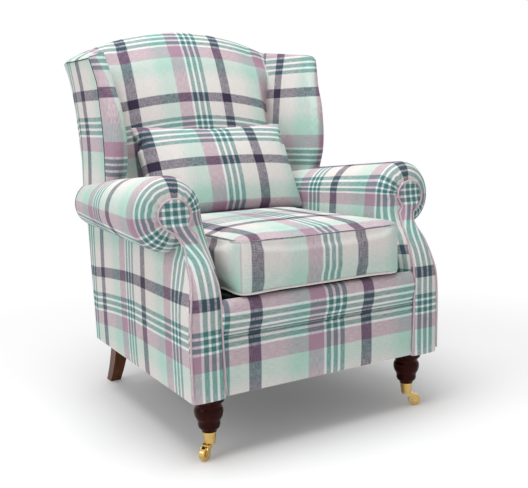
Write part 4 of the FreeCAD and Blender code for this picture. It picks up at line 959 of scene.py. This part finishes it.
for side in ("right", "left"):
    flip = (lambda grid: grid) if side == "right" else mirrored
    covered(f"arm_{side}_cover", [flip(arm_shell(side))], "chair", [f"arm_pad_{side}"], sharp=1.2)
    covered(f"arm_facing_{side}_cover", [flip(facing_shell(side))], "chair", [f"arm_facing_{side}"])
    covered(f"arm_facing_{side}_welt", [flip(tube(facing_rim(0.156), 0.0026, 8, start=0.140, level=0.24))])
    covered(f"outside_arm_{side}_cover", [flip(outside_shell())], "chair", [f"outside_arm_{side}"], sharp=0.9)
    grids, seam = wing_shell()
    covered(f"wing_{side}_cover", [flip(grid) for grid in grids], "chair", [f"wing_pad_{side}"], sharp=1.1)
    # the seam's cord lies on the dark stripe in both yarns: a painted shade line along the wing's seam
    covered(f"wing_{side}_seam", [flip(tube(spaced(seam, 0.008), 0.0013, 6, level=0.0))])
    meshed(f"front_leg_{side}_turning", [flip(leg_shell())], mahogany, "chair", ["front_legs"], sharp=0.9)

covered("inside_back_cover", [back_shell()], "chair", ["inside_back"], sharp=1.1)
covered("outside_back_cover", [outside_back_shell()], "chair", ["outside_back"], sharp=0.9)
covered("front_lip_cover", [lip_shell()], "chair", ["front_lip"])
covered("front_border_cover", [border_shell()], "chair", ["front_panel"], sharp=0.9)
for label, height in (("lower", 0.2934), ("upper", 0.2990)):
    covered(f"front_piping_{label}", [piping_tube(height)], "chair", ["rail_piping"])
# the platform is covered in black lining: a black platform cloth, whose blackness also paints the deep shade in the
# gap under the cushion
meshed("seat_platform_cover", [platform_shell()], black, "chair", ["seat_platform"])
lining = meshed("lining_under_seat", [lining_sheet()], black, "chair", ["dust_cover"], closed=False)
seat_cushion()
scatter_cushion()


# floor, light and camera


def lay_floor():
    """A matt white floor that keeps the shadow. What the camera and gloss see of it glows, by a ninth under the chair
    and wholly from 1.7 m out, so that it joins the white backdrop."""
    mesh = bpy.data.meshes.new("floor")
    mesh.from_pydata([(-14, -14, 0), (14, -14, 0), (14, 14, 0), (-14, 14, 0)], [], [(0, 1, 2, 3)])
    material = bpy.data.materials.new("white floor")
    material.use_nodes = True
    mesh.materials.append(material)
    web = material.node_tree
    matt = fed(web, web.nodes["Principled BSDF"], {"Base Color": (0.93, 0.93, 0.93, 1), "Roughness": 0.9,
                                                   "Specular IOR Level": 0.0}).outputs[0]
    away = node(web, "VectorMath", {0: node(web, "TexCoord").outputs["Object"]}, "LENGTH").outputs["Value"]
    fade = node(web, "MapRange", {"Value": away, "From Min": 0.65, "From Max": 1.7})
    fade.interpolation_type = "SMOOTHSTEP"
    looked = node(web, "LightPath").outputs
    seen = math(web, "MAXIMUM", looked["Is Camera Ray"], looked["Is Glossy Ray"])
    share = math(web, "MULTIPLY", math(web, "MAXIMUM", fade.outputs[0], 0.11), seen)
    blend = node(web, "MixShader", {0: share, 1: matt, 2: node(web, "Emission").outputs[0]})
    fed(web, web.nodes["Material Output"], {0: blend.outputs[0]})
    linked("floor", mesh)


def light_room():
    """White all round at a plain strength, which the camera and gloss see as plain white."""
    world = bpy.data.worlds.new("studio")
    bpy.context.scene.world = world
    world.use_nodes = True
    web = world.node_tree
    web.nodes.clear()
    white = (1, 1, 1, 1)
    sky = node(web, "Background", {"Color": white, "Strength": 0.46}).outputs[0]
    backdrop = node(web, "Background", {"Color": white}).outputs[0]
    looked = node(web, "LightPath").outputs
    gloss = math(web, "MAXIMUM", looked["Is Glossy Ray"], looked["Is Transmission Ray"])
    seen = math(web, "MAXIMUM", looked["Is Camera Ray"], gloss)
    choose = node(web, "MixShader", {0: seen, 1: sky, 2: backdrop})
    node(web, "OutputWorld", {0: choose.outputs[0]})


def lamp(name, place, aim, size, power):
    """A round soft box of that diameter and power, turned to what it lights."""
    light = bpy.data.lights.new(name, "AREA")
    light.shape = "DISK"
    light.size = size
    light.energy = power
    holder = linked(name, light)
    holder.location = place
    holder.rotation_euler = (Vector(aim) - Vector(place)).to_track_quat("-Z", "Y").to_euler()


def set_camera(place, yaw, pitch, tilt):
    """The photograph's view: yaw turns about Z, pitch lifts the view, tilt turns the picture, all in degrees."""
    camera = bpy.data.cameras.new("camera")
    camera.lens, camera.sensor_width, camera.clip_start = 54.84, 36, 0.01
    camera.shift_x, camera.shift_y = 0.002, -0.0026
    yaw, pitch, tilt = np.radians((yaw, pitch, tilt))
    ahead = np.array([-np.sin(yaw) * np.cos(pitch), np.cos(yaw) * np.cos(pitch), np.sin(pitch)])
    right = np.array([np.cos(yaw), np.sin(yaw), 0])
    up = np.cross(right, ahead)
    right, up = right * np.cos(tilt) + up * np.sin(tilt), up * np.cos(tilt) - right * np.sin(tilt)
    turned = Matrix((right, up, -ahead)).transposed().to_4x4()
    turned.translation = place
    holder = linked("camera", camera)
    holder.matrix_world = turned
    bpy.context.scene.camera = holder


lay_floor()
light_room()
lamp("overhead", (-0.5, -0.3, 3.4), (0, -0.1, 0.3), 2.4, 84)
lamp("upper left", (-3.2, -0.6, 2.2), (0, 0, 0.75), 2.0, 24)
set_camera((-1.1107, -1.9119, 0.771), -31.367, -8.603, -1.413)
bpy.context.scene.view_settings.view_transform = "Standard"
